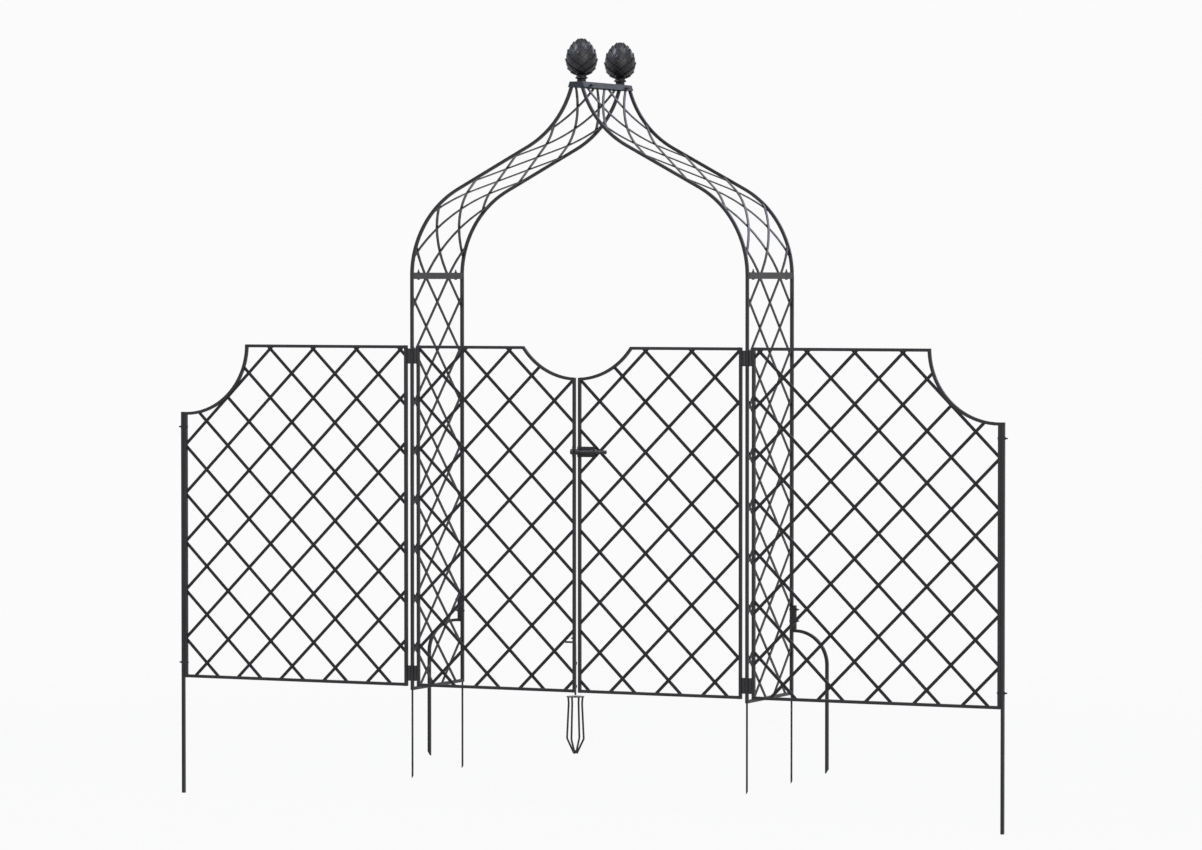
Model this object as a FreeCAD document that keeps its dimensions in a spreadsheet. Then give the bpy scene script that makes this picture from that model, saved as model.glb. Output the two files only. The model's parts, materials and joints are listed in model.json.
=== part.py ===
import FreeCAD, Part
import math
import os
import Sketcher
from FreeCAD import Placement, Rotation, Vector

# Garden arch with a double gate and two side panels, in 12 mm square steel bar with
# diagonal lattices of flat bar. Millimetres, +Z up, X across the gateway, Y from the
# front to the back. The origin is at ground level in the middle of the gateway, in the
# plane of the gate. The gate is stored closed, with both of its bolts drawn. A piece
# that comes in a left and a right is built on the right and turned half round.

doc = FreeCAD.newDocument("GardenArch")
sheet = doc.addObject("Spreadsheet::Sheet", "Sizes")

# Driving dimensions, in millimetres and degrees: name, value, what it is.
SIZES = [
    ("bar_side", 12.0, "side of the square frame bar"),
    ("bolted_gap", 2.0, "spacer between two bolted bars"),
    ("post_x", 750.0, "gateway post from the middle of the gateway"),
    ("arch_depth", 458.0, "front posts to rear posts"),
    ("joint_z", 1705.0, "joint between the posts and the ogee top"),
    ("spike_radius", 4.0, "round ground spike under each post"),
    ("spike_length", 365.0, "ground spike below the post"),
    ("tip_slant", 55.0, "slant of the cut at the end of a stake"),
    ("low_radius", 400.0, "lower bend of the ogee"),
    ("top_radius", 400.0, "upper, reversed bend of the ogee"),
    ("ogee_turn", 61.9, "angle that the lower bend turns through"),
    ("ridge_lean", 14.0, "lean of the ogee bars at the ridge"),
    ("ridge_x", 19.8, "end of an ogee bar from the middle"),
    ("ridge_drop", 4.0, "ridge bar top below the end of the ogee bars"),
    ("lattice_pitch", 203.4, "distance between parallel lattice bars, along the frame"),
    ("ogee_pitch", 205.8, "the same distance, along the ogee"),
    ("lattice_width", 12.0, "width of a flat lattice bar"),
    ("lattice_thickness", 3.0, "thickness of a flat lattice bar"),
    ("shortest_bar", 20.0, "shortest lattice bar that is fitted"),
    ("fold_length", 36.0, "length between two folds of a lattice bar on a bend"),
    ("layer_gap", 0.6, "gap between the two lattice layers on a bend"),
    ("bar_tip", 0.6, "blunt tip of a lattice bar on a bend"),
    ("side_cross_y", 127.7, "a lattice crossing in the arch, from the front posts"),
    ("side_cross_z", 1702.0, "height of that crossing"),
    ("leaf_cross_x", 305.1, "a lattice crossing in the gate, from the middle"),
    ("panel_cross_z", 1197.5, "height of a lattice crossing in the gate and wings"),
    ("wing_cross", 229.6, "a lattice crossing in a wing, from its inner stile"),
    ("hinge_gap", 16.4, "post to the stile that is hung on it"),
    ("hinge_clearance", 0.3, "hinge barrel to the post and to the stile"),
    ("hinge_tab", 7.0, "width of the tab that joins a barrel to its bar"),
    ("knuckle", 31.3, "length of one hinge barrel"),
    ("knuckle_gap", 0.3, "gap between the barrels of a gate hinge"),
    ("pin_radius", 4.5, "hinge pin"),
    ("pin_clearance", 0.1, "running clearance round the hinge pin"),
    ("pin_length", 27.0, "hinge pin above its barrel"),
    ("low_hinge_z", 38.0, "foot of the lower hinges"),
    ("high_hinge_z", 1344.0, "foot of the upper hinges"),
    ("panel_low_z", 16.0, "underside of the gate and the wings"),
    ("panel_top_z", 1419.0, "top of the gate and the wings"),
    ("meeting_gap", 12.4, "gap between the two leaves of the gate"),
    ("leaf_arch_radius", 293.0, "dip over the middle of the gate"),
    ("leaf_arch_z", 1579.5, "centre of that dip"),
    ("wing_arch_x", 1817.3, "centre of the scoop at the end of a wing"),
    ("wing_arch_radius", 291.5, "scoop at the end of a wing"),
    ("wing_run", 8.7, "level run between the scoop and the end of a wing"),
    ("end_post_depth", 472.0, "end post below the ground"),
    ("bolt_radius", 3.0, "shank of a bolt"),
    ("bolt_clearance", 0.3, "hole round a bolt"),
    ("bolt_head_radius", 6.5, "domed head of a bolt"),
    ("bolt_head_height", 4.0, "domed head of a bolt"),
    ("bolt_crown", 3.0, "flat at the top of a bolt head"),
    ("bolt_end", 13.0, "bolt end past what it holds"),
    ("nut_radius", 5.8, "across the corners of a nut, halved"),
    ("nut_height", 5.0, "height of a nut"),
    ("thread_clearance", 0.1, "nut bore round its bolt"),
    ("spacer_radius", 6.0, "spacer between bolted bars"),
    ("joint_bolt_inset", 59.0, "joint and ridge bolts from the posts"),
    ("wing_bolt_inset", 62.0, "upper end post bolt below the top of the post"),
    ("wing_bolt_low_z", 79.0, "lower end post bolt"),
    ("brace_bolt_low_z", 300.0, "lower brace bolt"),
    ("brace_bolt_high_z", 347.0, "upper brace bolt"),
    ("brace_top_z", 364.0, "top of the brace"),
    ("brace_z", 260.0, "height of the brace's outward arm"),
    ("brace_x", 906.0, "brace stake from the middle of the gateway"),
    ("brace_radius", 136.0, "bend of the brace"),
    ("brace_depth", 317.0, "brace stake below the ground"),
    ("cap_wall", 2.5, "sheet of the ridge cap"),
    ("cap_end_gap", 0.5, "ridge cap end plate to the ogee bars"),
    ("cap_top_half", 28.6, "half width of the ridge cap at its top"),
    ("cap_low_half", 36.4, "half width of the ridge cap at its open underside"),
    ("cap_height", 22.5, "height of the ridge cap"),
    ("finial_inset", 43.0, "finial from the posts"),
    ("stud_radius", 4.0, "threaded stud of a finial"),
    ("stud_length", 14.0, "stud below the foot of a finial"),
    ("stud_nut_radius", 7.5, "across the corners of a finial nut, halved"),
    ("stud_nut_height", 6.5, "height of a finial nut"),
    ("neck_radius", 18.5, "foot of a finial"),
    ("neck_height", 12.0, "foot of a finial"),
    ("collar_radius", 25.0, "rim of the collar"),
    ("collar_height", 16.5, "height of the rim of the collar"),
    ("waist_radius", 20.0, "waist between the collar and the cone"),
    ("waist_height", 22.0, "foot of that waist"),
    ("cone_radius", 66.0, "widest ring of scale tips"),
    ("cone_widest", 87.0, "height of the widest part of the cone"),
    ("cone_low_curve", 72.0, "curve of the cone below its widest part"),
    ("cone_top_curve", 100.0, "curve of the cone above its widest part"),
    ("cone_top", 176.0, "height of the bud that closes the cone"),
    ("bud_radius", 14.0, "bud that closes the cone"),
    ("bud_shoulder", 166.0, "height of the bud's shoulder"),
    ("scale_turn", 25.5, "turn of the cones about their axis"),
    ("scale_pitch", 20.0, "distance between two rows of scale tips, along the curve"),
    ("scale_start", -53.0, "lowest scale tips from the widest part, along the curve"),
    ("scale_lift", 9.0, "foot of a scale below the curve that the tips lie on"),
    ("latch_z", 993.0, "height of the gate latch"),
    ("latch_plate_start", 6.2, "latch plate from the middle of the gateway"),
    ("latch_plate_length", 80.0, "latch plate"),
    ("latch_plate_height", 43.0, "latch plate and keeper"),
    ("latch_sheet", 3.0, "sheet of the latch plate, its straps and the keeper"),
    ("strap_width", 14.0, "width of a latch strap"),
    ("latch_radius", 8.0, "sliding bolt of the latch"),
    ("latch_clearance", 0.6, "room round the sliding bolt"),
    ("latch_length", 135.0, "sliding bolt"),
    ("latch_overreach", 4.0, "shot bolt past the keeper"),
    ("latch_travel", 26.0, "travel of the sliding bolt"),
    ("drop_radius", 4.0, "drop bolt rod"),
    ("drop_clearance", 0.3, "room round the drop bolt"),
    ("drop_depth", 47.0, "tip of the dropped bolt below the ground"),
    ("drop_handle_z", 167.0, "handle of the dropped bolt"),
    ("drop_bend", 12.0, "bend between the rod and its handle"),
    ("drop_reach", 46.0, "handle's end from the rod's axis"),
    ("drop_lift", 52.0, "lift that draws the bolt from its socket"),
    ("guide_wall", 2.5, "wall of a drop bolt guide"),
    ("guide_height", 12.0, "height of a drop bolt guide"),
    ("guide_low_z", 34.0, "foot of the lower guide"),
    ("guide_high_z", 128.0, "foot of the upper guide"),
    ("rest_pin_z", 236.0, "peg that the raised handle is turned onto"),
    ("rest_pin_radius", 3.5, "peg that the raised handle is turned onto"),
    ("rest_pin_length", 7.0, "peg that the raised handle is turned onto"),
    ("socket_radius", 36.5, "plate of the ground socket"),
    ("socket_sheet", 3.0, "thickness of that plate"),
    ("socket_hole", 8.0, "hole that the drop bolt falls into"),
    ("socket_rod", 4.0, "rods of the ground socket"),
    ("socket_top", 32.5, "rods at the plate, from the socket's axis"),
    ("socket_neck", 30.0, "rods at the neck, from the socket's axis"),
    ("socket_neck_z", 29.0, "neck below the ground"),
    ("socket_belly", 37.5, "rods at the belly, from the socket's axis"),
    ("socket_belly_z", 172.0, "belly below the ground"),
    ("socket_tip", 6.5, "rods at the tip, from the socket's axis"),
    ("socket_tip_z", 232.0, "tip below the ground"),
    ("socket_bend", 14.0, "bends of the socket rods"),
    ("socket_point", 8.5, "plug that closes the tip of the socket"),
    ("socket_point_height", 12.0, "plug that closes the tip of the socket"),
]
for row, (name, value, note) in enumerate(SIZES, 1):
    sheet.set("A%d" % row, note)
    sheet.set("B%d" % row, str(value))
    sheet.setAlias("B%d" % row, name)
doc.recompute()

# Places that several pieces share, worked out from the sizes above.
PLACES = [
    ("half_bar", "Sizes.bar_side / 2"),
    ("post_height", "Sizes.joint_z - Sizes.bolted_gap / 2"),
    ("ogee_foot", "Sizes.joint_z + Sizes.bolted_gap / 2"),
    ("inner_y", "half_bar"),
    ("inner_depth", "Sizes.arch_depth - Sizes.bar_side"),
    ("low_bar_z", "post_height - Sizes.bar_side"),
    ("grip", "2 * Sizes.bar_side + Sizes.bolted_gap"),
    ("rear_bolt_y", "Sizes.arch_depth - Sizes.joint_bolt_inset"),
    ("hole_radius", "Sizes.bolt_radius + Sizes.bolt_clearance"),
    ("low_reach", "Sizes.low_radius * (1 - cos(Sizes.ogee_turn))"),
    ("top_reach", "Sizes.top_radius * (cos(Sizes.ridge_lean) - cos(Sizes.ogee_turn))"),
    ("ogee_reach", "Sizes.post_x - Sizes.ridge_x"),
    ("ogee_straight", "(ogee_reach - low_reach - top_reach) / sin(Sizes.ogee_turn)"),
    ("ogee_rise", "(Sizes.low_radius + Sizes.top_radius) * sin(Sizes.ogee_turn)"
                  " + ogee_straight * cos(Sizes.ogee_turn)"
                  " - Sizes.top_radius * sin(Sizes.ridge_lean)"),
    ("ridge_z", "ogee_foot + ogee_rise"),
    ("ridge_bar_z", "ridge_z - Sizes.ridge_drop - Sizes.bar_side"),
    ("ridge_bolt_z", "ridge_bar_z + half_bar"),
    ("ridge_bar_x", "Sizes.ridge_x + (Sizes.ridge_drop + half_bar) * tan(Sizes.ridge_lean)"),
    ("cap_top", "ridge_z + half_bar * sin(Sizes.ridge_lean) + Sizes.cap_wall"),
    ("cap_front", "half_bar + Sizes.cap_end_gap + Sizes.cap_wall"),
    ("cap_rear", "Sizes.arch_depth + cap_front"),
    ("cap_length", "cap_rear + cap_front"),
    ("cap_inner_rear", "cap_rear - Sizes.cap_wall"),
    ("cap_inner_length", "cap_length - 2 * Sizes.cap_wall"),
    ("cap_slope", "(Sizes.cap_low_half - Sizes.cap_top_half) / Sizes.cap_height"),
    ("cap_inset", "Sizes.cap_wall * (sqrt(1 + cap_slope ^ 2) - cap_slope)"),
    ("cap_inner_top_half", "Sizes.cap_top_half - cap_inset"),
    ("cap_inner_low_half", "Sizes.cap_low_half - cap_inset"),
    ("cap_inner_top", "cap_top - Sizes.cap_wall"),
    ("ridge_head_x", "Sizes.cap_top_half"
                     " + cap_slope * (cap_top - ridge_bolt_z + Sizes.bolt_head_radius)"),
    ("ridge_nut_x", "Sizes.cap_top_half"
                    " + cap_slope * (cap_top - ridge_bolt_z + Sizes.nut_radius)"),
    ("ridge_grip", "ridge_head_x + ridge_nut_x"),
    ("rear_finial_y", "Sizes.arch_depth - Sizes.finial_inset"),
    ("stud_hole", "Sizes.stud_radius + Sizes.bolt_clearance"),
    ("barrel_radius", "Sizes.hinge_gap / 2 - Sizes.hinge_clearance"),
    ("eye_bore", "Sizes.pin_radius + Sizes.pin_clearance"),
    ("hung_offset", "half_bar + Sizes.hinge_gap / 2"),
    ("leaf_axis_x", "Sizes.post_x - hung_offset"),
    ("leaf_stile_x", "leaf_axis_x - hung_offset"),
    ("meeting_x", "(Sizes.meeting_gap + Sizes.bar_side) / 2"),
    ("wing_axis_x", "Sizes.post_x + hung_offset"),
    ("wing_stile_x", "wing_axis_x + hung_offset"),
    ("wing_end_x", "Sizes.wing_arch_x + Sizes.wing_run"),
    ("outer_stile_x", "wing_end_x - half_bar"),
    ("end_post_x", "outer_stile_x + Sizes.bar_side + Sizes.bolted_gap"),
    ("rail_low_top", "Sizes.panel_low_z + Sizes.bar_side"),
    ("rail_under_z", "Sizes.panel_top_z - Sizes.bar_side"),
    ("panel_height", "Sizes.panel_top_z - Sizes.panel_low_z"),
    ("wing_scoop_x", "Sizes.wing_arch_x - Sizes.wing_arch_radius"),
    ("wing_scoop_reach", "wing_end_x - wing_scoop_x"),
    ("wing_low_z", "Sizes.panel_top_z - Sizes.wing_arch_radius"),
    ("outer_stile_top", "wing_low_z - half_bar"),
    ("end_post_top", "wing_low_z + half_bar"),
    ("wing_bolt_high_z", "end_post_top - Sizes.wing_bolt_inset"),
    ("leaf_low_z", "Sizes.leaf_arch_z - Sizes.leaf_arch_radius"),
    ("leaf_corner_x", "sqrt((Sizes.leaf_arch_radius - half_bar) ^ 2"
                      " - (Sizes.leaf_arch_z - rail_under_z) ^ 2)"),
    ("leaf_arch_reach", "sqrt(Sizes.leaf_arch_radius ^ 2"
                        " - (Sizes.leaf_arch_z - Sizes.panel_top_z) ^ 2)"),
    ("brace_flange_x", "Sizes.post_x + Sizes.bar_side + Sizes.bolted_gap"),
    ("brace_foot_z", "Sizes.brace_z - half_bar"),
    ("brace_arm", "Sizes.brace_x - brace_flange_x"),
    ("brace_rise", "Sizes.brace_z + Sizes.brace_depth"),
    ("latch_back", "half_bar + Sizes.latch_sheet"),
    ("latch_y", "latch_back + Sizes.latch_clearance + Sizes.latch_radius"),
    ("strap_inner", "Sizes.latch_radius + Sizes.latch_clearance"),
    ("strap_outer", "strap_inner + Sizes.latch_sheet"),
    ("latch_tip_x", "Sizes.latch_travel - Sizes.latch_overreach - meeting_x - half_bar"),
    ("strap_far_x", "Sizes.latch_plate_start + Sizes.latch_plate_length"
                    " - Sizes.strap_width"),
    ("drop_y", "half_bar + Sizes.drop_clearance + Sizes.drop_radius"),
    ("drop_foot_z", "Sizes.drop_lift - Sizes.drop_depth"),
    ("drop_rise", "Sizes.drop_handle_z + Sizes.drop_depth"),
    ("guide_inner", "Sizes.drop_radius + Sizes.drop_clearance"),
    ("guide_outer", "guide_inner + Sizes.guide_wall"),
    ("eye_low_z", "Sizes.low_hinge_z + Sizes.knuckle"),
    ("eye_high_z", "Sizes.high_hinge_z + Sizes.knuckle"),
]

# The pine cones have rows of pointed scales. Each row has its tips on the cone's curve and
# its foot further in, hidden by the two rows before it.
SCALE_ROWS = 9
SCALES_ROUND = 8
FOOT_ROWS = 2.2
SCALE_PLACES = (("tip", 0, "0"), ("middle", 1, "Sizes.scale_lift / %g" % FOOT_ROWS),
                ("foot", FOOT_ROWS, "Sizes.scale_lift"))
for row in range(SCALE_ROWS):
    for name, back, inset in SCALE_PLACES:
        along = "(Sizes.scale_start + %g * Sizes.scale_pitch)" % (row - back)
        curve = "(%s > 0 ? Sizes.cone_top_curve : Sizes.cone_low_curve)" % along
        radius = "Sizes.cone_radius - %s + (%s - %s) * cos(180 / pi * %s / %s)" % (
            curve, curve, inset, along, curve)
        height = "Sizes.cone_widest + (%s - %s) * sin(180 / pi * %s / %s)" % (
            curve, inset, along, curve)
        if name != "tip":
            radius = "max(%s; Sizes.waist_radius)" % radius
        if name == "foot":
            height = "min(%s; tip_height_%d)" % (height, row - 2) if row > 1 \
                else "Sizes.waist_height"
        PLACES.append(("%s_radius_%d" % (name, row), radius))
        PLACES.append(("%s_height_%d" % (name, row), height))
derived = doc.addObject("App::VarSet", "Places")
for name, formula in PLACES:
    derived.addProperty("App::PropertyFloat", name, "Places")
    derived.setExpression(name, formula)
doc.recompute()
SIZE_NAMES = {name for name, value, note in SIZES}
PLACE_NAMES = {name for name, formula in PLACES}


def number(name):
    """The present value of a size or a place."""
    return float(sheet.get(name)) if name in SIZE_NAMES else float(getattr(derived, name))


def link(text):
    """Writes the names in a formula as references to the sheet and to the places."""
    words = []
    for word in text.split():
        if word in SIZE_NAMES:
            word = "Sizes." + word
        elif word in PLACE_NAMES:
            word = "Places." + word
        words.append(word)
    return " ".join(words)


ALONG_X = Rotation(Vector(0, 1, 0), 90)
ALONG_Y = Rotation(Vector(1, 0, 0), -90)
UPRIGHT = Rotation()
HALF_TURN = Rotation(Vector(0, 0, 1), 180)
SIDES = (("left", HALF_TURN), ("right", UPRIGHT))
ENDS = (("front", "0"), ("rear", "arch_depth"))
sub_parts = []


def node(thing, label, turn=UPRIGHT):
    """Names a finished sub-part, turns it to its side and keeps it for export."""
    thing.Label = label
    if turn is not UPRIGHT:
        thing.Placement = Placement(Vector(), turn)
    sub_parts.append(thing)
    return thing


def bind(thing, links):
    for path, formula in links.items():
        thing.setExpression(path, link(formula))
    return thing


def put(thing, x="0", y="0", z="0", turn=UPRIGHT):
    """Places an object, with its position bound to the sizes."""
    thing.Placement = Placement(Vector(), turn)
    return bind(thing, {"Placement.Base.x": x, "Placement.Base.y": y, "Placement.Base.z": z})


def block(x, y, z, length, width, height):
    """A box from its lowest corner."""
    box = doc.addObject("Part::Box", "Block")
    return put(bind(box, {"Length": length, "Width": width, "Height": height}), x, y, z)


def rod(radius, length, x="0", y="0", z="0", turn=UPRIGHT):
    cylinder = doc.addObject("Part::Cylinder", "Rod")
    return put(bind(cylinder, {"Radius": radius, "Height": length}), x, y, z, turn)


def joined(*things):
    fuse = doc.addObject("Part::MultiFuse", "Joined")
    fuse.Shapes = list(things)
    return fuse


def group(*things):
    compound = doc.addObject("Part::Compound", "Group")
    compound.Links = list(things)
    return compound


def cut(base, *tools):
    result = doc.addObject("Part::Cut", "Cut")
    result.Base = base
    result.Tool = tools[0] if len(tools) == 1 else group(*tools)
    return result


def within(base, window):
    result = doc.addObject("Part::Common", "Within")
    result.Base = base
    result.Tool = window
    return result


def upright(x, y, z, height):
    """An upright frame bar on its middle line."""
    return block(x + " - half_bar", y + " - half_bar", z, "bar_side", "bar_side", height)


def crossbar(x, z, length):
    """A frame bar along X, from its start and its underside."""
    return block(x, "0 - half_bar", z, length, "bar_side", "bar_side")


def slant(base, x, y, tip, radius):
    """Cuts the foot of a stake to a slant that starts at its tip."""
    knife = doc.addObject("Part::Box", "Knife")
    bind(knife, {"Length": "6 * bar_side", "Width": "4 * bar_side", "Height": "4 * bar_side"})
    turn = Rotation(Vector(0, 1, 0), -number("tip_slant")) * Rotation(Vector(1, 0, 0), 180)
    put(knife, "%s - %s" % (x, radius), y + " + 2 * bar_side", tip, turn)
    return cut(base, knife)


# Helpers for bodies: sketches on a body's own origin planes, with their dimensions bound
# to the sizes, and bars drawn along a path.

def sketch_on(body, name, role):
    sketch = body.newObject("Sketcher::SketchObject", name)
    plane = [feature for feature in body.Origin.OriginFeatures if feature.Role == role][0]
    sketch.AttachmentSupport = (plane, [""])
    sketch.MapMode = "FlatFace"
    return sketch


def dimension(sketch, name, constraint, formula):
    """Adds a named dimension and binds it to the sizes."""
    index = sketch.addConstraint(constraint)
    sketch.renameConstraint(index, name)
    sketch.setExpression("Constraints." + name, link(formula))


def square_profile(sketch):
    half = number("half_bar")
    corners = [Vector(-half, -half), Vector(half, -half), Vector(half, half), Vector(-half, half)]
    for k in range(4):
        sketch.addGeometry(Part.LineSegment(corners[k], corners[(k + 1) % 4]))
    for k in range(4):
        sketch.addConstraint(Sketcher.Constraint("Coincident", k, 2, (k + 1) % 4, 1))
    for k in (0, 2):
        sketch.addConstraint(Sketcher.Constraint("Horizontal", k))
    for k in (1, 3):
        sketch.addConstraint(Sketcher.Constraint("Vertical", k))
    sketch.addConstraint(Sketcher.Constraint("Symmetric", 0, 1, 2, 1, -1, 1))
    width = Sketcher.Constraint("DistanceX", 0, 1, 0, 2, 2 * half)
    dimension(sketch, "Width", width, "bar_side")
    depth = Sketcher.Constraint("DistanceY", 1, 1, 1, 2, 2 * half)
    dimension(sketch, "Depth", depth, "bar_side")


def round_profile(sketch, radius):
    sketch.addGeometry(Part.Circle(Vector(), Vector(0, 0, 1), number(radius)))
    sketch.addConstraint(Sketcher.Constraint("Coincident", 0, 3, -1, 1))
    dimension(sketch, "Radius", Sketcher.Constraint("Radius", 0, number(radius)), radius)


def swept(body, profile, path):
    pipe = body.newObject("PartDesign::AdditivePipe", "Pipe")
    pipe.Profile = profile
    pipe.Spine = (path, [""])
    pipe.Mode = "Standard"
    return body


def hooked(name, profile, rise, reach, bend):
    """A bar that rises from the origin, bends and runs level towards -X."""
    body = doc.addObject("PartDesign::Body", name)
    section = sketch_on(body, name + "Section", "XY_Plane")
    profile(section)
    top, arm, radius = number(rise), number(reach), number(bend)
    path = sketch_on(body, name + "Path", "XZ_Plane")
    path.addGeometry(Part.LineSegment(Vector(), Vector(0, top - radius)))
    turn = Part.Circle(Vector(-radius, top - radius), Vector(0, 0, 1), radius)
    path.addGeometry(Part.ArcOfCircle(turn, 0, math.pi / 2))
    path.addGeometry(Part.LineSegment(Vector(-radius, top), Vector(-arm, top)))
    path.addConstraint(Sketcher.Constraint("Coincident", 0, 1, -1, 1))
    path.addConstraint(Sketcher.Constraint("Vertical", 0))
    path.addConstraint(Sketcher.Constraint("Tangent", 0, 2, 1, 1))
    path.addConstraint(Sketcher.Constraint("Tangent", 1, 2, 2, 1))
    path.addConstraint(Sketcher.Constraint("Horizontal", 2))
    dimension(path, "Bend", Sketcher.Constraint("Radius", 1, radius), bend)
    dimension(path, "Rise", Sketcher.Constraint("DistanceY", -1, 1, 2, 2, top), rise)
    dimension(path, "Reach", Sketcher.Constraint("DistanceX", 2, 2, -1, 1, arm), reach)
    return swept(body, section, path)


# Posts, with a round spike under each foot.

BRACE_BOLTS = ("brace_bolt_low_z", "brace_bolt_high_z")
WING_BOLTS = ("wing_bolt_low_z", "wing_bolt_high_z")


def bored_x(base, x, y, heights):
    """Bolt holes along X through an upright bar."""
    start = x + " - bar_side"
    return cut(base, *[rod("hole_radius", "2 * bar_side", start, y, z, ALONG_X) for z in heights])


spikes = []
for side, turn in SIDES:
    x = "post_x" if side == "right" else "0 - post_x"
    node(upright(x, "0", "0", "post_height"), "front_%s_post" % side)
    rear = upright(x, "arch_depth", "0", "post_height")
    node(bored_x(rear, x, "arch_depth", BRACE_BOLTS), "rear_%s_post" % side)
    for end, y in ENDS:
        spike = rod("spike_radius", "spike_length", x, y, "0 - spike_length")
        spikes.append(slant(spike, x, y, "0 - spike_length", "spike_radius"))
node(group(*spikes), "post_spikes")

# Bars across the depth of the arch: a sill at the ground and a bolted pair at the joint.


def bored_z(base, x, z):
    """The two joint bolt holes in a level bar."""
    return cut(base, *[rod("hole_radius", "2 * bar_side", x, y, z + " - half_bar")
                       for y in ("joint_bolt_inset", "rear_bolt_y")])


upper_bars = []
for side, turn in SIDES:
    x = "post_x" if side == "right" else "0 - post_x"
    sill = block(x + " - half_bar", "inner_y", "0", "bar_side", "inner_depth", "bar_side")
    low = block(x + " - half_bar", "inner_y", "low_bar_z", "bar_side", "inner_depth", "bar_side")
    node(group(sill, bored_z(low, x, "low_bar_z")), side + "_side_bars")
    high = block(x + " - half_bar", "inner_y", "ogee_foot", "bar_side", "inner_depth", "bar_side")
    upper_bars.append(bored_z(high, x, "ogee_foot"))
node(group(*upper_bars), "upper_joint_bars")

# Ogee bars: they rise upright from the joint, bend inwards, run straight, and bend back
# up to the ridge.


def ogee_bar(name, y, turn):
    body = doc.addObject("PartDesign::Body", name)
    section = sketch_on(body, name + "Section", "XY_Plane")
    square_profile(section)
    low, top = number("low_radius"), number("top_radius")
    turned, lean = math.radians(number("ogee_turn")), math.radians(number("ridge_lean"))
    run = number("ogee_straight")
    start = Vector(low * (math.cos(turned) - 1), low * math.sin(turned))
    finish = start + Vector(-run * math.sin(turned), run * math.cos(turned))
    centre = finish + Vector(top * math.cos(turned), top * math.sin(turned))
    path = sketch_on(body, name + "Path", "XZ_Plane")
    circle = Part.Circle(Vector(-low, 0), Vector(0, 0, 1), low)
    path.addGeometry(Part.ArcOfCircle(circle, 0, turned))
    path.addGeometry(Part.LineSegment(start, finish))
    circle = Part.Circle(centre, Vector(0, 0, 1), top)
    path.addGeometry(Part.ArcOfCircle(circle, math.pi + lean, math.pi + turned))
    path.addConstraint(Sketcher.Constraint("Coincident", 0, 1, -1, 1))
    path.addConstraint(Sketcher.Constraint("PointOnObject", 0, 3, -1))
    path.addConstraint(Sketcher.Constraint("Tangent", 0, 2, 1, 1))
    path.addConstraint(Sketcher.Constraint("Tangent", 1, 2, 2, 2))
    dimension(path, "LowBend", Sketcher.Constraint("Radius", 0, low), "low_radius")
    dimension(path, "TopBend", Sketcher.Constraint("Radius", 2, top), "top_radius")
    reach = Sketcher.Constraint("DistanceX", 2, 1, -1, 1, number("ogee_reach"))
    dimension(path, "Reach", reach, "ogee_reach")
    rise = Sketcher.Constraint("DistanceY", -1, 1, 2, 1, number("ogee_rise"))
    dimension(path, "Rise", rise, "ogee_rise")
    run = Sketcher.Constraint("Distance", 1, run)
    dimension(path, "Straight", run, "ogee_straight")
    swept(body, section, path)
    x = "post_x" if turn is UPRIGHT else "0 - post_x"
    return put(body, x, y, "ogee_foot", turn)


for side, turn in SIDES:
    for end, y in ENDS:
        label = "%s_%s_ogee_bar" % (side, end)
        bar = ogee_bar("Ogee%s%s" % (side.title(), end.title()), y, turn)
        bar.Label = label
        sub_parts.append(bar)

# Ridge: two bars under a folded cap, bolted through from side to side.

ridge_bars = []
for x in ("ridge_bar_x", "0 - ridge_bar_x"):
    bar = block(x + " - half_bar", "inner_y", "ridge_bar_z", "bar_side", "inner_depth", "bar_side")
    holes = [rod("hole_radius", "2 * bar_side", x + " - bar_side", y, "ridge_bolt_z", ALONG_X)
             for y in ("joint_bolt_inset", "rear_bolt_y")]
    ridge_bars.append(cut(bar, *holes))
node(group(*ridge_bars), "ridge_bars")


def trapezoid(name, top_half, low_half, length):
    """A bar of trapezoid section below the origin's level, running towards -Y."""
    body = doc.addObject("PartDesign::Body", name)
    sketch = sketch_on(body, name + "Section", "XZ_Plane")
    top, low, height = number(top_half), number(low_half), number("cap_height")
    corners = [Vector(-low, -height), Vector(low, -height), Vector(top, 0), Vector(-top, 0)]
    for k in range(4):
        sketch.addGeometry(Part.LineSegment(corners[k], corners[(k + 1) % 4]))
    for k in range(4):
        sketch.addConstraint(Sketcher.Constraint("Coincident", k, 2, (k + 1) % 4, 1))
    sketch.addConstraint(Sketcher.Constraint("Symmetric", 0, 1, 0, 2, -2))
    sketch.addConstraint(Sketcher.Constraint("Symmetric", 2, 1, 2, 2, -2))
    sketch.addConstraint(Sketcher.Constraint("PointOnObject", 2, 1, -1))
    low_width = Sketcher.Constraint("DistanceX", 0, 1, 0, 2, 2 * low)
    dimension(sketch, "LowWidth", low_width, "2 * " + low_half)
    top_width = Sketcher.Constraint("DistanceX", 2, 2, 2, 1, 2 * top)
    dimension(sketch, "TopWidth", top_width, "2 * " + top_half)
    depth = Sketcher.Constraint("DistanceY", 0, 2, 2, 1, height)
    dimension(sketch, "Height", depth, "cap_height")
    pad = body.newObject("PartDesign::Pad", name + "Pad")
    pad.Profile = sketch
    bind(pad, {"Length": length})
    return body


outside = trapezoid("CapOutside", "cap_top_half", "cap_low_half", "cap_length")
inside = trapezoid("CapInside", "cap_inner_top_half", "cap_inner_low_half",
                   "cap_inner_length")
put(outside, y="cap_rear", z="cap_top")
put(inside, y="cap_inner_rear", z="cap_inner_top")
cap_holes = [rod("hole_radius", "4 * cap_low_half", "0 - 2 * cap_low_half", y,
                 "ridge_bolt_z", ALONG_X) for y in ("joint_bolt_inset", "rear_bolt_y")]
cap_holes += [rod("stud_hole", "2 * cap_height", "0", y, "cap_top - cap_height")
              for y in ("finial_inset", "rear_finial_y")]
node(cut(outside, inside, *cap_holes), "ridge_cap")

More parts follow.
